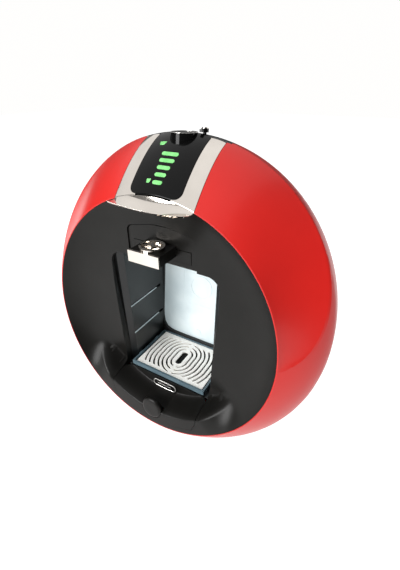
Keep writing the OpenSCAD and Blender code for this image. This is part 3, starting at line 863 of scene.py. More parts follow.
@dataclass
class TopShells:
    """Control panel, spine and chrome handle on the top skin."""

    shop: Workshop
    sharp_deg: float = 30.0
    # Panel: half width, start, and its front corners, squashed along the depth
    panel_half: float = 24.7
    panel_start: float = 1.0
    panel_columns: int = 61
    panel_rows: int = 60
    panel_bevel: float = 0.35
    corner: float = 8.0
    corner_squash: float = 0.62
    # Spine: its columns, and where it starts beside the panel
    spine_columns: tuple[float, ...] = (38.0, 34.0, 30.0, 25.05, 24.7, 18.0, 12.0, 6.0)
    spine_beside: float = 24.9
    spine_start: float = 46.3
    spine_rows: int = 24
    spine_bevel: float = 0.4
    # Bands: rows round the panel's corner and behind it, gap, crown and undercut end
    band_columns: int = 15
    corner_rows: tuple[float, float, int] = (0.3, 7.5, 26)
    band_from: float = 8.5
    band_rows: int = 40
    band_gap: float = 0.35
    crown: float = 0.25
    crown_from: float = 1.0
    crown_run: float = 4.0
    undercut: float = 2.4
    end_rows: float = 0.01
    band_bevel: float = 0.5
    # Lip: root, tip in its middle and the tip's change towards the corners, and its bow
    lip_columns: int = 61
    lip_rows: int = 25
    lip_root: float = -0.15
    lip_taper: float = 0.95
    lip_tip: tuple[float, float] = (-8.3, 108.4)
    lip_corner: tuple[float, float] = (-3.4, 3.6)
    lip_bow: tuple[float, float, float] = (0.0, 0.78, -0.62)
    lip_bow_by: float = 6.0
    lip_under: tuple[float, float, float] = (0.0, -0.5, 0.6)
    lip_thick: tuple[float, float] = (0.5, 2.0)
    lip_bevel: float = 0.4

    def panel_front(self, x: Array) -> Array:
        """Depth of the panel's rounded front edge at x."""
        over = np.clip(np.abs(x) - (self.panel_half - self.corner), 0, self.corner)
        return self.panel_start + self.corner_squash * (self.corner - np.sqrt(self.corner ** 2 - over ** 2))

    def shell(self, name: str, xs: Array, front: Array, back: float, rows: int, finish: Finishes,
              bevel: float) -> bpy.types.Object:
        """Makes a shell on the top skin.

        Args:
            name: Object name.
            xs: Columns across, from +X to -X.
            front: Front depth of each column.
            back: Back depth of the shell.
            rows: Steps from front to back.
            finish: Surface finish.
            bevel: Rounded edge width.

        Returns:
            The shell.
        """
        form = self.shop.form
        share = np.linspace(0, 1, rows + 1)[None, :]
        y = front[:, None] + (back - front)[:, None] * share
        x = np.broadcast_to(xs[:, None], y.shape)
        outer = form.top_point(x, y)
        inner = form.top_point(x, y, form.thick(y))
        return self.shop.slab(name, form.leaned(outer), form.leaned(inner), finish, bevel, self.sharp_deg)

    def build(self) -> None:
        """Builds panel, spine, bands and lip."""
        form = self.shop.form
        xs = np.linspace(self.panel_half, -self.panel_half, self.panel_columns)
        panel = self.shell("piano_panel", xs, self.panel_front(xs), form.panel_end, self.panel_rows,
                           Finishes.PIANO, self.panel_bevel)
        self.shop.hand_over(panel, "machine", "gloss_black", "control_panel")
        half = np.array([form.spine_half, *self.spine_columns])
        xs = np.concatenate([half, [0.0], -half[::-1]])
        start = np.where(np.abs(xs) > self.spine_beside, self.spine_start, form.panel_end + form.seam)
        spine = self.shell("spine_shell", xs, start, form.cover_end, self.spine_rows, Finishes.REAR,
                           self.spine_bevel)
        self.shop.hand_over(spine, "machine", "black_plastic", "spine_cover")
        self.bands()
        self.lip()

    def bands(self) -> None:
        """Builds the two chrome bands, which fill in round the panel's front corners."""
        form = self.shop.form
        share = np.linspace(0, 1, self.band_columns)
        y = np.concatenate([np.linspace(*self.corner_rows),
                            np.linspace(self.band_from, form.band_end, self.band_rows)])
        run = np.clip((y - self.panel_start) / self.corner_squash, 0, self.corner)
        reach = np.sqrt(np.maximum(0, self.corner ** 2 - (self.corner - run) ** 2))
        inner_x = np.minimum(form.band_in, self.panel_half - self.corner + reach + self.band_gap)
        inner_x = np.where(y < self.panel_start, self.panel_half - self.corner + self.band_gap, inner_x)
        x = form.band_out + (inner_x[None, :] - form.band_out) * share[:, None]
        depth = np.broadcast_to(y[None, :], x.shape)
        outer = form.top_point(x, depth)
        outer[..., 2] += (self.crown * np.sin(np.pi * share)[:, None]
                          * smooth((depth - self.crown_from) / self.crown_run))
        under = depth - self.undercut * (depth > form.band_end - self.end_rows)
        inner = form.top_point(x, under, form.thick(under))
        for hand, flip in MIRRORED:
            band = self.shop.slab(f"chrome_band_{hand}", form.leaned(outer * flip), form.leaned(inner * flip),
                                  Finishes.CHROME, self.band_bevel, self.sharp_deg)
            self.shop.hand_over(band, "handle", "chrome", f"handle_band_{hand}")

    def lip(self) -> None:
        """Builds the chrome lip that sweeps forward under the panel."""
        form = self.shop.form
        x = np.linspace(form.band_out, -form.band_out, self.lip_columns)[:, None]
        s = np.linspace(0, 1, self.lip_rows)[None, :]
        k = (x / form.band_out) ** 2
        start = np.stack([x, np.full_like(x, self.lip_root), np.sqrt(form.disc_r ** 2 - x * x)], -1)
        tip_y, tip_w = (low + more * k for low, more in zip(self.lip_tip, self.lip_corner))
        tip = np.stack([x * self.lip_taper, tip_y, tip_w], -1)
        way = start * (1 - s[..., None]) + tip * s[..., None]
        way = way + np.array(self.lip_bow) * (self.lip_bow_by * s * (1 - s))[..., None]
        under = way - np.array(self.lip_under) * (self.lip_thick[0] + self.lip_thick[1] * s)[..., None]
        lip = self.shop.slab("chrome_lip", form.leaned(way), form.leaned(under), Finishes.CHROME,
                             self.lip_bevel, self.sharp_deg)
        self.shop.hand_over(lip, "handle", "chrome", "handle_lip")


@dataclass
class Indicators:
    """Lit bars and cup marks on the control panel."""

    shop: Workshop
    repeat: Repeater
    depths: tuple[float, ...] = (6.8, 10.9, 15.0, 19.4, 24.0)
    first_width: float = 9.0
    bar_height: float = 3.4
    bar_thick: float = 0.35
    cap_thick: float = 0.34
    bar_lift: float = 0.18
    widening: float = 1.7
    # Name, place on the panel and half width of each cup mark
    cups: tuple[tuple[str, tuple[float, float], float], ...] = (("small_cup_mark", (-9.0, 7.4), 2.0),
                                                                ("large_cup_mark", (-13.2, 32.6), 3.1))
    cup_shape: Outline = ((-1.0, 0.75), (-0.75, -0.6), (-0.45, -0.85), (0.45, -0.85), (0.75, -0.6),
                          (1.0, 0.75))
    cup_height: float = 0.62
    mark_foot: float = 0.04
    mark_top: float = 0.25

    def cup(self, name: str, centre: tuple[float, float], size: float) -> bpy.types.Object:
        """Makes a plain cup mark on the panel.

        Args:
            name: Object name.
            centre: Place (x, depth) of its middle.
            size: Half width.

        Returns:
            The mark.
        """
        form = self.shop.form
        points = np.array(centre) + np.array(self.cup_shape) * np.array([size, size * self.cup_height])
        ends = [form.leaned(form.top_point(points[:, 0], points[:, 1], -up))
                for up in (self.mark_foot, self.mark_top)]
        return self.shop.prism(name, ends, Finishes.LIT, 0.0)

    def build(self) -> None:
        """Builds bars and marks."""
        form = self.shop.form
        count = len(self.depths)
        centres = form.leaned(form.top_point(np.zeros(count), np.array(self.depths), -self.bar_lift))
        slope = np.arctan2(*np.diff(centres[[0, -1]], axis=0)[0, [2, 1]])
        tilt = (float(slope), 0, 0)
        middle = self.first_width - self.bar_height
        bars = self.repeat.place("lit_bars", Item.BAR, centres, (middle, self.bar_height, self.bar_thick),
                                 Finishes.LIT, tilt, self.widening / middle)
        self.shop.hand_over(bars, "machine", "led_green", "led_bars")
        reach = (middle + self.widening * np.arange(count)) / 2 * MM
        ends = np.concatenate([centres + [[sign * v, 0, 0] for v in reach] for sign in (-1, 1)])
        caps = self.repeat.place("lit_bar_ends", Item.DISC, ends,
                                 (self.bar_height, self.bar_height, self.cap_thick), Finishes.LIT, tilt)
        self.shop.hand_over(caps, "machine", "led_green")
        marks = [self.cup(*values) for values in self.cups]
        for mark in marks:
            self.shop.hand_over(mark, "machine", "led_green", "cup_icons")


@dataclass
class BlackFace:
    """Dished fascia with its flange round the tunnel's mouth."""

    shop: Workshop
    step_deg: float = 1.5
    # Right half of the line cut out of the dish: foot, tunnel side, shoulder, neck, brow and top
    foot_r: float = 113.3
    foot_half: float = 48.0
    foot_points: int = 20
    tunnel_side: Outline = ((48.8, -102.2), (52.3, -92.5), (52.4, -81.0), (53.5, -66.0), (55.2, -30.0),
                            (57.2, 0.0), (58.6, 25.0))
    shoulder: tuple[float, ...] = (12.4, 0.0, 90.0, 14)
    shoulder_at: tuple[float, float] = (46.6, 46.2)
    neck: Outline = ((36.3, 58.6), (36.3, 80.0))
    brow: tuple[float, ...] = (7.0, 10.0, 64.0, 8)
    brow_at: tuple[float, float] = (29.3, 82.4)
    top: Outline = ((20.0, 91.0), (9.0, 93.2), (0.0, 93.6))
    # Rows from the cut line to the rim, and back behind the face
    rim_inset: float = 0.6
    rim_depth: float = 2.1
    least_depth: float = 0.15
    first_row: float = 0.015
    front_rows: tuple[float, float, int] = (0.04, 0.97, 34)
    last_row: float = 0.985
    back_rows: tuple[float, ...] = (0.9, 0.6, 0.3, 0.0)
    # Flange: how deep it reaches, between which heights, its thickness and least step
    flange_depth: float = 24.0
    flange_w: tuple[float, float] = (-81.5, 58.7)
    flange_thick: float = 1.6
    flange_step: float = 0.05
    bevel: float = 0.5
    sharp_deg: float = 38.0

    def cut_line(self) -> Array:
        """Closed line round everything cut out of the dish.

        Returns:
            Points (x, height), no further apart than the step.
        """
        x = np.linspace(0, self.foot_half, self.foot_points)
        foot = np.column_stack([x, -np.sqrt(self.foot_r ** 2 - x * x)])
        right = np.concatenate([foot, self.tunnel_side, arc(self.shoulder_at, *self.shoulder), self.neck,
                                arc(self.brow_at, *self.brow), self.top])
        finer = [right[0]]
        for a, b in zip(right[:-1], right[1:]):
            sweep = math.degrees(math.atan2(b[1], b[0]) - math.atan2(a[1], a[0]))
            n = max(1, math.ceil(abs(sweep) / self.step_deg))
            finer += [a + (b - a) * (j + 1) / n for j in range(n)]
        line = np.array(finer)
        return np.concatenate([line, (line * [-1, 1])[-2:0:-1]])

    def build(self) -> None:
        """Builds the fascia."""
        form = self.shop.form
        line = self.cut_line()
        r0 = np.hypot(line[:, 0], line[:, 1])[:, None]
        rim = form.disc_r - self.rim_inset
        out = np.concatenate([[0, self.first_row], np.linspace(*self.front_rows), [self.last_row, 1.0]])
        front_r = r0 + (rim - r0) * out[None, :]
        back_r = r0 + (rim - r0) * np.array(self.back_rows)[None, :]
        unit = (line / r0)[:, None, :]

        def surface(r: Array, more: float) -> Array:
            """Points of the dish at radius r, moved back by some millimetres."""
            x, w = unit[..., 0] * r, unit[..., 1] * r
            return np.stack([x, np.maximum(self.least_depth, form.dish(x, w)) + more, w], -1)

        edge = surface(np.full_like(r0, rim), 0)
        edge[..., 1] = self.rim_depth
        c, s = form.turn
        w = line[:, 1]
        flanged = ((w < self.flange_w[1]) & (w > self.flange_w[0]))[:, None]
        outside = surface(r0 + self.flange_thick, form.wall)
        inside = surface(r0, form.wall)
        root = outside[..., 1] + self.flange_step
        deep = np.maximum(inside[..., 1], ((self.flange_depth + w * -s) / c)[:, None])
        back = surface(back_r, form.wall)
        back[:, -1, :] = outside[:, 0, :]
        outside[..., 1] = np.where(flanged, np.maximum(deep, root), root)
        inside[..., 1] = np.where(flanged, deep, inside[..., 1])
        rows = np.concatenate([surface(front_r, 0), edge, back, outside, inside], axis=1)
        fascia = self.shop.ring("dished_fascia", form.leaned(rows), Finishes.FASCIA, self.bevel,
                                self.sharp_deg)
        self.shop.hand_over(fascia, "machine", "fascia_black", "front_fascia")


@dataclass
class LowerPanel:
    """Lower front panel, which follows the dish and has a pocket for the button."""

    shop: Workshop
    columns: int = 105
    rows: int = 57
    # Half width, and how it narrows over the lower part
    half: float = 52.0
    narrowing: float = 3.5
    narrow_from: float = 0.6
    narrow_run: float = 0.4
    top: float = 80.4
    foot_r: float = 113.0
    # Shallow moat round the button
    button_w: float = -100.0
    moat_r: float = 13.5
    moat_width: float = 2.2
    moat_depth: float = 1.6
    moat_low: float = -103.0
    moat_run: float = 8.0
    pocket_r: float = 12.1
    pocket_steps: int = 72
    pocket: tuple[float, float] = (-6.0, 6.2)
    bevel: float = 0.35
    sharp_deg: float = 40.0

    def build(self) -> None:
        """Builds the panel and cuts its pocket."""
        form = self.shop.form
        u = np.linspace(1, -1, self.columns)[:, None]
        v = np.linspace(1, 0, self.rows)[None, :]
        half = np.where(v < self.narrow_from, self.half,
                        self.half - self.narrowing * (v - self.narrow_from) / self.narrow_run)
        x = u * half
        w = -self.top - v * (np.sqrt(self.foot_r ** 2 - x * x) - self.top)
        away = np.hypot(x, w - self.button_w)
        moat = np.exp(-((away - self.moat_r) / self.moat_width) ** 2)
        moat = moat * smooth((w - self.moat_low) / self.moat_run)
        depth = form.dish(x, w) + self.moat_depth * moat
        outer = form.leaned(np.stack([x, depth, w], -1))
        inner = form.leaned(np.stack([x, depth + form.wall, w], -1))
        panel = self.shop.slab("lower_panel", outer, inner, Finishes.FASCIA, 0.0, self.sharp_deg)
        ring = arc((0.0, self.button_w), self.pocket_r, 0, 360, self.pocket_steps + 1)[:-1]
        cutter = self.shop.block("cutter", ring, *self.pocket, lambda p: form.leaned(p[..., [0, 2, 1]]),
                                 Finishes.FASCIA, 0.0)
        self.shop.cut(panel, cutter)
        self.shop.dress(panel, Finishes.FASCIA, self.bevel, self.sharp_deg)
        self.shop.hand_over(panel, "machine", "fascia_black", "lower_front_panel")


@dataclass
class TopBadge:
    """Round black badge on the crest, with a satin metal rim and an inner ring."""

    shop: Workshop
    centre: tuple[float, float] = (0.0, 43.5)
    seat_w: float = 165.4
    tilt_deg: float = 5.0
    steps: int = 72
    sharp_deg: float = 40.0
    # Profile points no higher than this lie sunk in the skin
    on_skin: float = 0.05
    disc: Outline = ((0.0, 0.02), (6.0, 0.02), (11.5, 0.02), (11.5, 0.45), (11.1, 0.6), (10.4, 0.62),
                     (10.1, 0.5), (7.0, 0.5), (3.5, 0.52), (0.0, 0.53))
    rim: Outline = ((10.4, 0.45), (11.3, 0.45), (11.3, 0.72), (10.85, 0.8), (10.4, 0.72), (10.4, 0.45))
    inner_ring: Outline = ((8.2, 0.4), (8.7, 0.4), (8.7, 0.62), (8.2, 0.62), (8.2, 0.4))
    stem: Outline = ((0.0, 0.0), (3.0, 0.0), (3.0, 4.0), (0.0, 4.0))
    stem_w: float = 157.0
    stem_steps: int = 24

    def circles(self, profile: Outline, steps: int) -> tuple[Array, Array, Array]:
        """Turns a profile about the badge's axis.

        Args:
            profile: Points (radius, height).
            steps: Number of steps round.

        Returns:
            The x, depth and height of each point, steps by points.
        """
        a = np.linspace(0, 2 * np.pi, steps, endpoint=False)[:, None]
        r, h = np.array(profile).T
        return (self.centre[0] + r * np.cos(a), self.centre[1] + r * np.sin(a),
                np.broadcast_to(h, (steps, len(h))))

    def seated(self, name: str, profile: Outline, finish: Finishes) -> bpy.types.Object:
        """Makes a turned piece on the tilted seat of the top skin.

        Args:
            name: Object name.
            profile: Points (radius, height) from the axis, round the section and back.
            finish: Surface finish.

        Returns:
            The piece.
        """
        x, y, h = self.circles(profile, self.steps)
        rise = self.seat_w + (y - self.centre[1]) * math.tan(math.radians(self.tilt_deg))
        skin = self.shop.form.top_point(x, y, self.on_skin)
        rows = np.where(h[..., None] > self.on_skin, np.stack([x, y, rise + h], -1), skin)
        return self.shop.lathe(name, rows, finish, self.sharp_deg)

    def build(self) -> None:
        """Builds the badge's disc, its stem and its two rings."""
        disc = self.seated("badge_disc", self.disc, Finishes.PIANO)
        x, y, h = self.circles(self.stem, self.stem_steps)
        stem = self.shop.lathe("badge_stem", np.stack([x, y, self.stem_w + h], -1), Finishes.REAR,
                               self.sharp_deg)
        rim = self.seated("badge_rim", self.rim, Finishes.BADGE)
        inner = self.seated("badge_inner_ring", self.inner_ring, Finishes.BADGE)
        self.shop.hand_over(disc, "machine", "gloss_black", "top_badge")
        self.shop.hand_over(stem, "machine", "gloss_black", "top_badge")
        self.shop.hand_over(rim, "machine", "chrome")
        self.shop.hand_over(inner, "machine", "chrome")


@dataclass
class PanelMarks:
    """Blank stadium badge with a raised rim, and the power button with its turned edge."""

    shop: Workshop
    # Badge: height, depth of its front, half sizes, and (growth, depth) of the rim's section
    badge_w: float = -87.2
    badge_front: float = 23.1
    half: tuple[float, float] = (14.5, 4.2)
    end_steps: int = 14
    section: Outline = ((0.0, 0.8), (0.0, 0.15), (-0.3, 0.0), (-0.75, 0.0), (-1.0, 0.2), (-1.0, 0.8))
    plate_inset: float = 0.9
    plate: tuple[float, float] = (0.25, 0.8)
    plate_bevel: float = 0.1
    bar_half: tuple[float, float] = (8.5, 0.45)
    bar: tuple[float, float] = (0.12, 0.4)
    bar_bevel: float = 0.08
    # Button: height, steps round and its profile as (radius, depth)
    button_w: float = -100.0
    button_steps: int = 64
    button: Outline = ((0.0, 3.5), (12.0, 3.5), (12.0, 1.2), (11.7, 0.2), (10.9, -0.6), (9.6, -1.1),
                       (8.6, -1.2), (4.0, -1.05), (0.0, -1.0))
    sharp_deg: float = 50.0

    def stadium(self, grow: float) -> Array:
        """Outline of the badge, grown by some millimetres.

        Args:
            grow: Growth of the outline.

        Returns:
            Points (x, height).
        """
        r = self.half[1] + grow
        reach = self.half[0] - self.half[1]
        a = np.radians(np.linspace(-90, 90, self.end_steps))
        right = np.column_stack([reach + r * np.cos(a), r * np.sin(a)])
        return np.concatenate([right, -right]) + [0, self.badge_w]

    def place(self, points: Array) -> Array:
        """Turns (x, height, depth) points into metres."""
        return self.shop.form.leaned(points[..., [0, 2, 1]])

    def plaque(self, name: str, outline: Array, span: tuple[float, float], finish: Finishes,
               bevel: float) -> bpy.types.Object:
        """Makes a flat piece behind the badge's front.

        Args:
            name: Object name.
            outline: Points (x, height).
            span: Depths of its two faces behind the badge's front.
            finish: Surface finish.
            bevel: Rounded edge width.

        Returns:
            The piece.
        """
        low, high = (self.badge_front + d for d in span)
        return self.shop.block(name, outline, low, high, self.place, finish, bevel)

    def build(self) -> None:
        """Builds badge plate, its rim and bar, and the button."""
        plate = self.plaque("badge_plate", self.stadium(-self.plate_inset), self.plate, Finishes.FASCIA,
                            self.plate_bevel)
        self.shop.hand_over(plate, "machine", "badge_silver", "front_badge")
        count = 2 * self.end_steps
        rows = np.stack([self.place(np.column_stack([self.stadium(g), np.full(count, self.badge_front + d)]))
                         for g, d in self.section], 1)
        rim = self.shop.ring("badge_border", rows, Finishes.BADGE, 0.0, self.sharp_deg)
        self.shop.hand_over(rim, "machine", "badge_silver")
        corners = np.array([(-1, -1), (1, -1), (1, 1), (-1, 1)]) * self.bar_half + [0, self.badge_w]
        bar = self.plaque("badge_bar", corners, self.bar, Finishes.BADGE, self.bar_bevel)
        self.shop.hand_over(bar, "machine", "badge_silver")
        a = np.linspace(0, 2 * np.pi, self.button_steps, endpoint=False)[:, None]
        r, depth = np.array(self.button).T
        turned = np.stack([r * np.cos(a), np.broadcast_to(depth, (self.button_steps, len(depth))),
                           self.button_w + r * np.sin(a)], -1)
        button = self.shop.lathe("button_cap", turned, Finishes.FASCIA, self.sharp_deg)
        self.shop.hand_over(button, "button", "fascia_black", "power_button")


@dataclass
class TankDetails:
    """Moulded square on the tank's front, and level marks on its back."""

    shop: Workshop
    repeat: Repeater
    # Square: depth of the tank's front, height of its middle, half size and corner radius
    front: float = 92.6
    square_w: float = 3.5
    square: float = 23.0
    corner: float = 4.0
    corner_points: int = 7
    # Section of the raised rib as (out, forward)
    rib: Outline = ((-0.5, -0.1), (-0.35, 0.3), (0.35, 0.3), (0.5, -0.1))
    sharp_deg: float = 50.0
    # Level marks: x, depth, lowest and highest height, pitch and size of one
    mark_x: float = 46.0
    mark_depth: float = 146.02
    mark_rows: tuple[int, int, int] = (-50, 71, 15)
    mark: tuple[float, float, float] = (10.0, 0.3, 0.8)

    def build(self) -> None:
        """Builds the raised square and the level marks."""
        form = self.shop.form
        reach = self.square - self.corner
        turns = ((1, 1, 0), (-1, 1, 90), (-1, -1, 180), (1, -1, 270))
        base = np.concatenate([arc((cx * reach, cz * reach), self.corner, start, start + 90,
                                   self.corner_points) for cx, cz, start in turns])
        rows = []
        for p in base:
            u = p / np.hypot(*p)
            rows.append([[p[0] + u[0] * o, self.front - d, self.square_w + p[1] + u[1] * o]
                         for o, d in self.rib])
        square = self.shop.ring("tank_square", form.leaned(np.array(rows)), Finishes.TANK, 0.0,
                                self.sharp_deg)
        self.shop.hand_over(square, "tank", "tank_clear")
        marks = np.array([(self.mark_x, self.mark_depth, w) for w in range(*self.mark_rows)])
        scale = self.repeat.place("level_marks", Item.BAR, form.leaned(marks), self.mark, Finishes.TRAY,
                                  (math.radians(-form.lean_deg), 0, 0))
        self.shop.hand_over(scale, "tank", "tank_clear")


@dataclass
class TunnelTrim:
    """Dark sill under the tray and dark tray floor, both painted shade, and pale rails in the tunnel's side
    grooves, which are painted highlights.
    """

    shop: Workshop
    repeat: Repeater
    # Lower and upper corner of each plate
    # Dark strip behind the gaps of fascia, panel and tray: painted shade where the gaps are dark.
    shade_sill: Corners = ((-56.0, 16.6, -84.9), (56.0, 31.0, -83.3))
    shade_sill_bevel: float = 0.4
    # Dark plate in the tray under the grill: painted shade below the grill.
    tray_shade_floor: Corners = ((-43.9, 18.6, -81.0), (43.9, 77.3, -80.92))
    # Rails, pale glowing strips that are painted highlights on the groove edges: half distance and height of
    # each pair, depth of their middle and size of one
    highlight_rails: Outline = ((50.75, -13.4), (49.85, -48.9))
    highlight_rail_depth: float = 52.0
    highlight_rail: tuple[float, float, float] = (0.9, 46.0, 1.1)
    highlight_rail_bevel: float = 0.25

    def plate(self, name: str, corners: Corners, finish: Finishes,
              bevel_mm: float) -> bpy.types.Object:
        """Makes a bevelled plate between two upright corners.

        Args:
            name: Object name.
            corners: Lower and upper corner (x, y, z).
            finish: Surface finish.
            bevel_mm: Rounded edge width.

        Returns:
            The plate.
        """
        low, high = corners
        outline = np.array([(low[0], low[1]), (high[0], low[1]), (high[0], high[1]), (low[0], high[1])])
        return self.shop.block(name, outline, low[2], high[2], self.shop.form.upright, finish, bevel_mm)

    def build(self) -> None:
        """Builds the painted-shade sill and tray floor, and the painted-highlight rails."""
        # Dark sill: painted shade behind the gaps.
        shade_sill = self.plate("tray_shade_sill", self.shade_sill, Finishes.TUNNEL, self.shade_sill_bevel)
        self.shop.hand_over(shade_sill, "machine", "tunnel_black")
        # Dark plate in the tray: painted shade under the grill.
        floor = self.plate("tray_shade_floor", self.tray_shade_floor, Finishes.PIANO, 0.0)
        self.shop.hand_over(floor, "tray", "tray_clear")
        # Pale strips with the tank's glow: painted highlights along the tunnel's grooves.
        ends = [(sign * x, self.highlight_rail_depth, z) for x, z in self.highlight_rails for sign in (-1, 1)]
        highlight_rails = self.repeat.place("groove_highlight_rails", Item.BAR, self.shop.form.upright(np.array(ends)),
                                  self.highlight_rail, Finishes.TANK, bevel_mm=self.highlight_rail_bevel)
        self.shop.hand_over(highlight_rails, "machine", "tray_clear")


# ------------------------------------------------------------------ floor, light and camera
@dataclass(frozen=True)
class SoftBox:
    """A square soft lamp aimed at a point; places in metres, power in watts."""

    name: str
    place: tuple[float, float, float]
    aim: tuple[float, float, float]
    size: float
    power: float

    def build(self) -> None:
        """Adds the lamp."""
        data = bpy.data.lights.new(self.name, "AREA")
        data.energy, data.size = self.power, self.size
        lamp = bpy.data.objects.new(self.name, data)
        way = Vector(self.aim) - Vector(self.place)
        turn = way.to_track_quat("-Z", "Y").to_matrix().to_4x4()
        lamp.matrix_world = Matrix.Translation(Vector(self.place)) @ turn
        bpy.context.scene.collection.objects.link(lamp)


@dataclass
class Studio:
    """Pale floor, soft light and camera."""

    # Camera about the disc's centre in millimetres: place and axes
    camera_mm: tuple[float, float, float] = (160.3, -188.7, 195.4)
    right: tuple[float, float, float] = (0.8640, 0.5035, -0.0021)
    up: tuple[float, float, float] = (-0.2550, 0.4412, 0.8604)
    back: tuple[float, float, float] = (0.4342, -0.7429, 0.5096)
    lens: float = 21.16
    sensor: float = 36.0
    nearest: float = 0.01
    shift: tuple[float, float] = (0.0032, -0.0101)
    # World light: from and to heights, and its strength at each
    fade_from: tuple[float, float] = (-0.2, 1.0)
    fade_to: tuple[float, float] = (0.08, 0.38)
    seen_strength: float = 1.0
    world_colour: tuple[float, ...] = (1.0, 0.995, 0.985, 1.0)
    floor_size: float = 8.0
    floor_tones: tuple[str, str] = ("#b4b4b3", "#b0b0af")
    floor_mottle: float = 3.0
    floor_rough: float = 0.7
    floor_glow: float = 0.86
    lamps: tuple[SoftBox, ...] = (SoftBox("key_softbox", (-0.6, -1.5, 0.8), (0.0, 0.0, 0.15), 0.9, 34.0),
                                  SoftBox("rim_softbox", (1.5, 0.9, 0.4), (0.0, 0.0, 0.15), 0.5, 2.0),
                                  SoftBox("top_softbox", (-0.55, 0.1, 1.9), (0.0, 0.0, 0.2), 3.4, 28.0))

    def build(self, form: BodyForm) -> None:
        """Sets camera, world light, floor and lamps.

        Args:
            form: Body that the camera is placed about.
        """
        bpy.context.scene.view_settings.view_transform = "Standard"
        self.camera(form)
        self.world()
        self.floor()
        for lamp in self.lamps:
            lamp.build()

    def camera(self, form: BodyForm) -> None:
        """Places the camera.

        Args:
            form: Body that the camera is placed about.
        """
        data = bpy.data.cameras.new("camera")
        data.lens, data.sensor_width = self.lens, self.sensor
        data.shift_x, data.shift_y = self.shift
        data.clip_start = self.nearest
        camera = bpy.data.objects.new("camera", data)
        axes = Matrix((self.right, self.up, self.back)).transposed().to_4x4()
        camera.matrix_world = Matrix.Translation(Vector(form.upright(np.array(self.camera_mm)))) @ axes
        bpy.context.scene.collection.objects.link(camera)
        bpy.context.scene.camera = camera

    def world(self) -> None:
        """Makes the world: pale light from above, and a plain white backdrop to the camera."""
        world = bpy.data.worlds.new("studio")
        world.use_nodes = True
        tree = world.node_tree
        backdrop = tree.nodes["Background"]
        place = add_node(tree, "ShaderNodeTexCoord").outputs["Generated"]
        parts = add_node(tree, "ShaderNodeSeparateXYZ", {}, {0: place})
        fade = add_node(tree, "ShaderNodeMapRange",
                        {"input:From Min": self.fade_from[0], "input:From Max": self.fade_from[1],
                         "input:To Min": self.fade_to[0], "input:To Max": self.fade_to[1]},
                        {"Value": parts.outputs["Z"]})
        seen = add_node(tree, "ShaderNodeLightPath").outputs["Is Camera Ray"]
        mixed = add_node(tree, "ShaderNodeMix", {"data_type": "FLOAT", "input:3": self.seen_strength},
                         {0: seen, 2: fade.outputs[0]})
        tree.links.new(mixed.outputs[0], backdrop.inputs["Strength"])
        backdrop.inputs["Color"].default_value = self.world_colour
        bpy.context.scene.world = world

    def floor(self) -> None:
        """Makes the pale floor: lacquered board, white with a faint mottle and a glow."""
        bpy.ops.mesh.primitive_plane_add(size=self.floor_size)
        floor = bpy.context.active_object
        floor.name = "floor"
        material = bpy.data.materials.new("pale_floor")
        material.use_nodes = True
        tree = material.node_tree
        shader = tree.nodes["Principled BSDF"]
        place = add_node(tree, "ShaderNodeTexCoord").outputs["Object"]
        noise = add_node(tree, "ShaderNodeTexNoise", {"input:Scale": self.floor_mottle}, {"Vector": place})
        light, dark = (linear(tone) for tone in self.floor_tones)
        tone = add_node(tree, "ShaderNodeMix", {"data_type": "RGBA", "input:6": light, "input:7": dark},
                        {0: noise.outputs["Fac"]})
        tree.links.new(tone.outputs[2], shader.inputs["Base Color"])
        shader.inputs["Roughness"].default_value = self.floor_rough
        shader.inputs["Emission Color"].default_value = (1.0, 1.0, 1.0, 1.0)
        shader.inputs["Emission Strength"].default_value = self.floor_glow
        floor.data.materials.append(material)


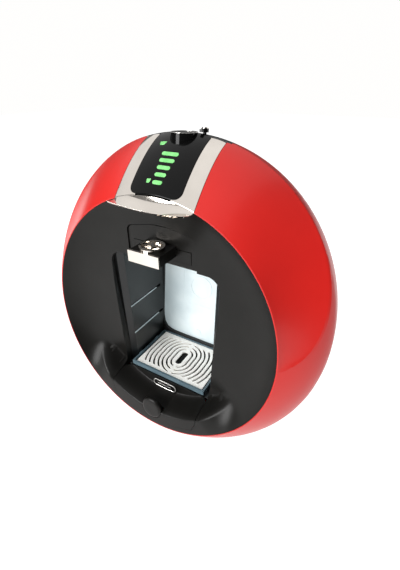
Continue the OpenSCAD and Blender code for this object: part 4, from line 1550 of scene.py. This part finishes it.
# ------------------------------------------------------------------ whole machine
# Pieces of the CAD that are shown as they are, with the finish of each
CAD_FINISHES: dict[str, Finishes] = {
    "base_plate": Finishes.REAR, "rubber_feet": Finishes.RUBBER, "rear_pedestal": Finishes.REAR,
    "tank_seat": Finishes.RUBBER, "rear_cover": Finishes.REAR, "button_switch": Finishes.REAR,
    "head_cover": Finishes.FASCIA, "tunnel_liner": Finishes.TUNNEL, "chassis_frame": Finishes.FRAME,
    "brew_head": Finishes.FRAME, "hinge_bracket": Finishes.STEEL, "hinge_pin": Finishes.STEEL,
    "selector_knob": Finishes.PIANO, "selector_tip": Finishes.CHROME, "handle_arms": Finishes.STEEL,
    "injector": Finishes.STEEL, "capsule_holder": Finishes.FASCIA, "holder_front": Finishes.CHROME,
    "holder_ring": Finishes.CHROME, "drip_tray": Finishes.TRAY, "drip_grill": Finishes.GRILL,
    "tray_clips": Finishes.TRAY, "water_tank": Finishes.TANK, "tank_valve": Finishes.ACETAL,
    "tank_boss": Finishes.TANK, "tank_lid": Finishes.REAR, "lid_pin": Finishes.STEEL,
    "pump": Finishes.STEEL, "pump_mounts": Finishes.RUBBER, "thermoblock": Finishes.CAST,
    "heater_terminals": Finishes.BRASS, "flow_meter": Finishes.ACETAL, "hose_feed": Finishes.SILICONE,
    "hose_boiler": Finishes.SILICONE, "control_board": Finishes.BOARD, "mains_inlet": Finishes.REAR,
    "cover_screws": Finishes.STEEL,
}


def form_from_frame() -> BodyForm:
    """Places the body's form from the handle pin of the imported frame.

    Returns:
        The form with its disc centre in the machine's frame, in millimetres.
    """
    plain = BodyForm()
    low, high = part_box("hinge_pin")
    c, s = plain.turn
    depth, height = plain.pin_at
    pin_y, pin_z = depth * c + height * s, -depth * s + height * c
    middle = [(a + b) / 2 / MM for a, b in zip(low, high)]
    return BodyForm(origin=(middle[1] - pin_y, middle[2] - pin_z))


def main() -> None:
    """Builds the machine's looks piece by piece."""
    logging.basicConfig(level=logging.INFO, format="%(message)s")
    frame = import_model()
    form = form_from_frame()
    LOG.info("disc centre at %s", form.origin)
    shop = Workshop(form)
    repeat = Repeater(shop)
    Studio().build(form)
    for node, finish in CAD_FINISHES.items():
        obj = frame["nodes"][node]
        obj.data.materials.clear()
        obj.data.materials.append(finish.value.build())
    RedCovers(shop).build()
    TopShells(shop).build()
    Indicators(shop, repeat).build()
    BlackFace(shop).build()
    LowerPanel(shop).build()
    TopBadge(shop).build()
    PanelMarks(shop).build()
    TankDetails(shop, repeat).build()
    TunnelTrim(shop, repeat).build()
    LOG.info("%d new pieces", shop.made)


if __name__ == "__main__":
    main()
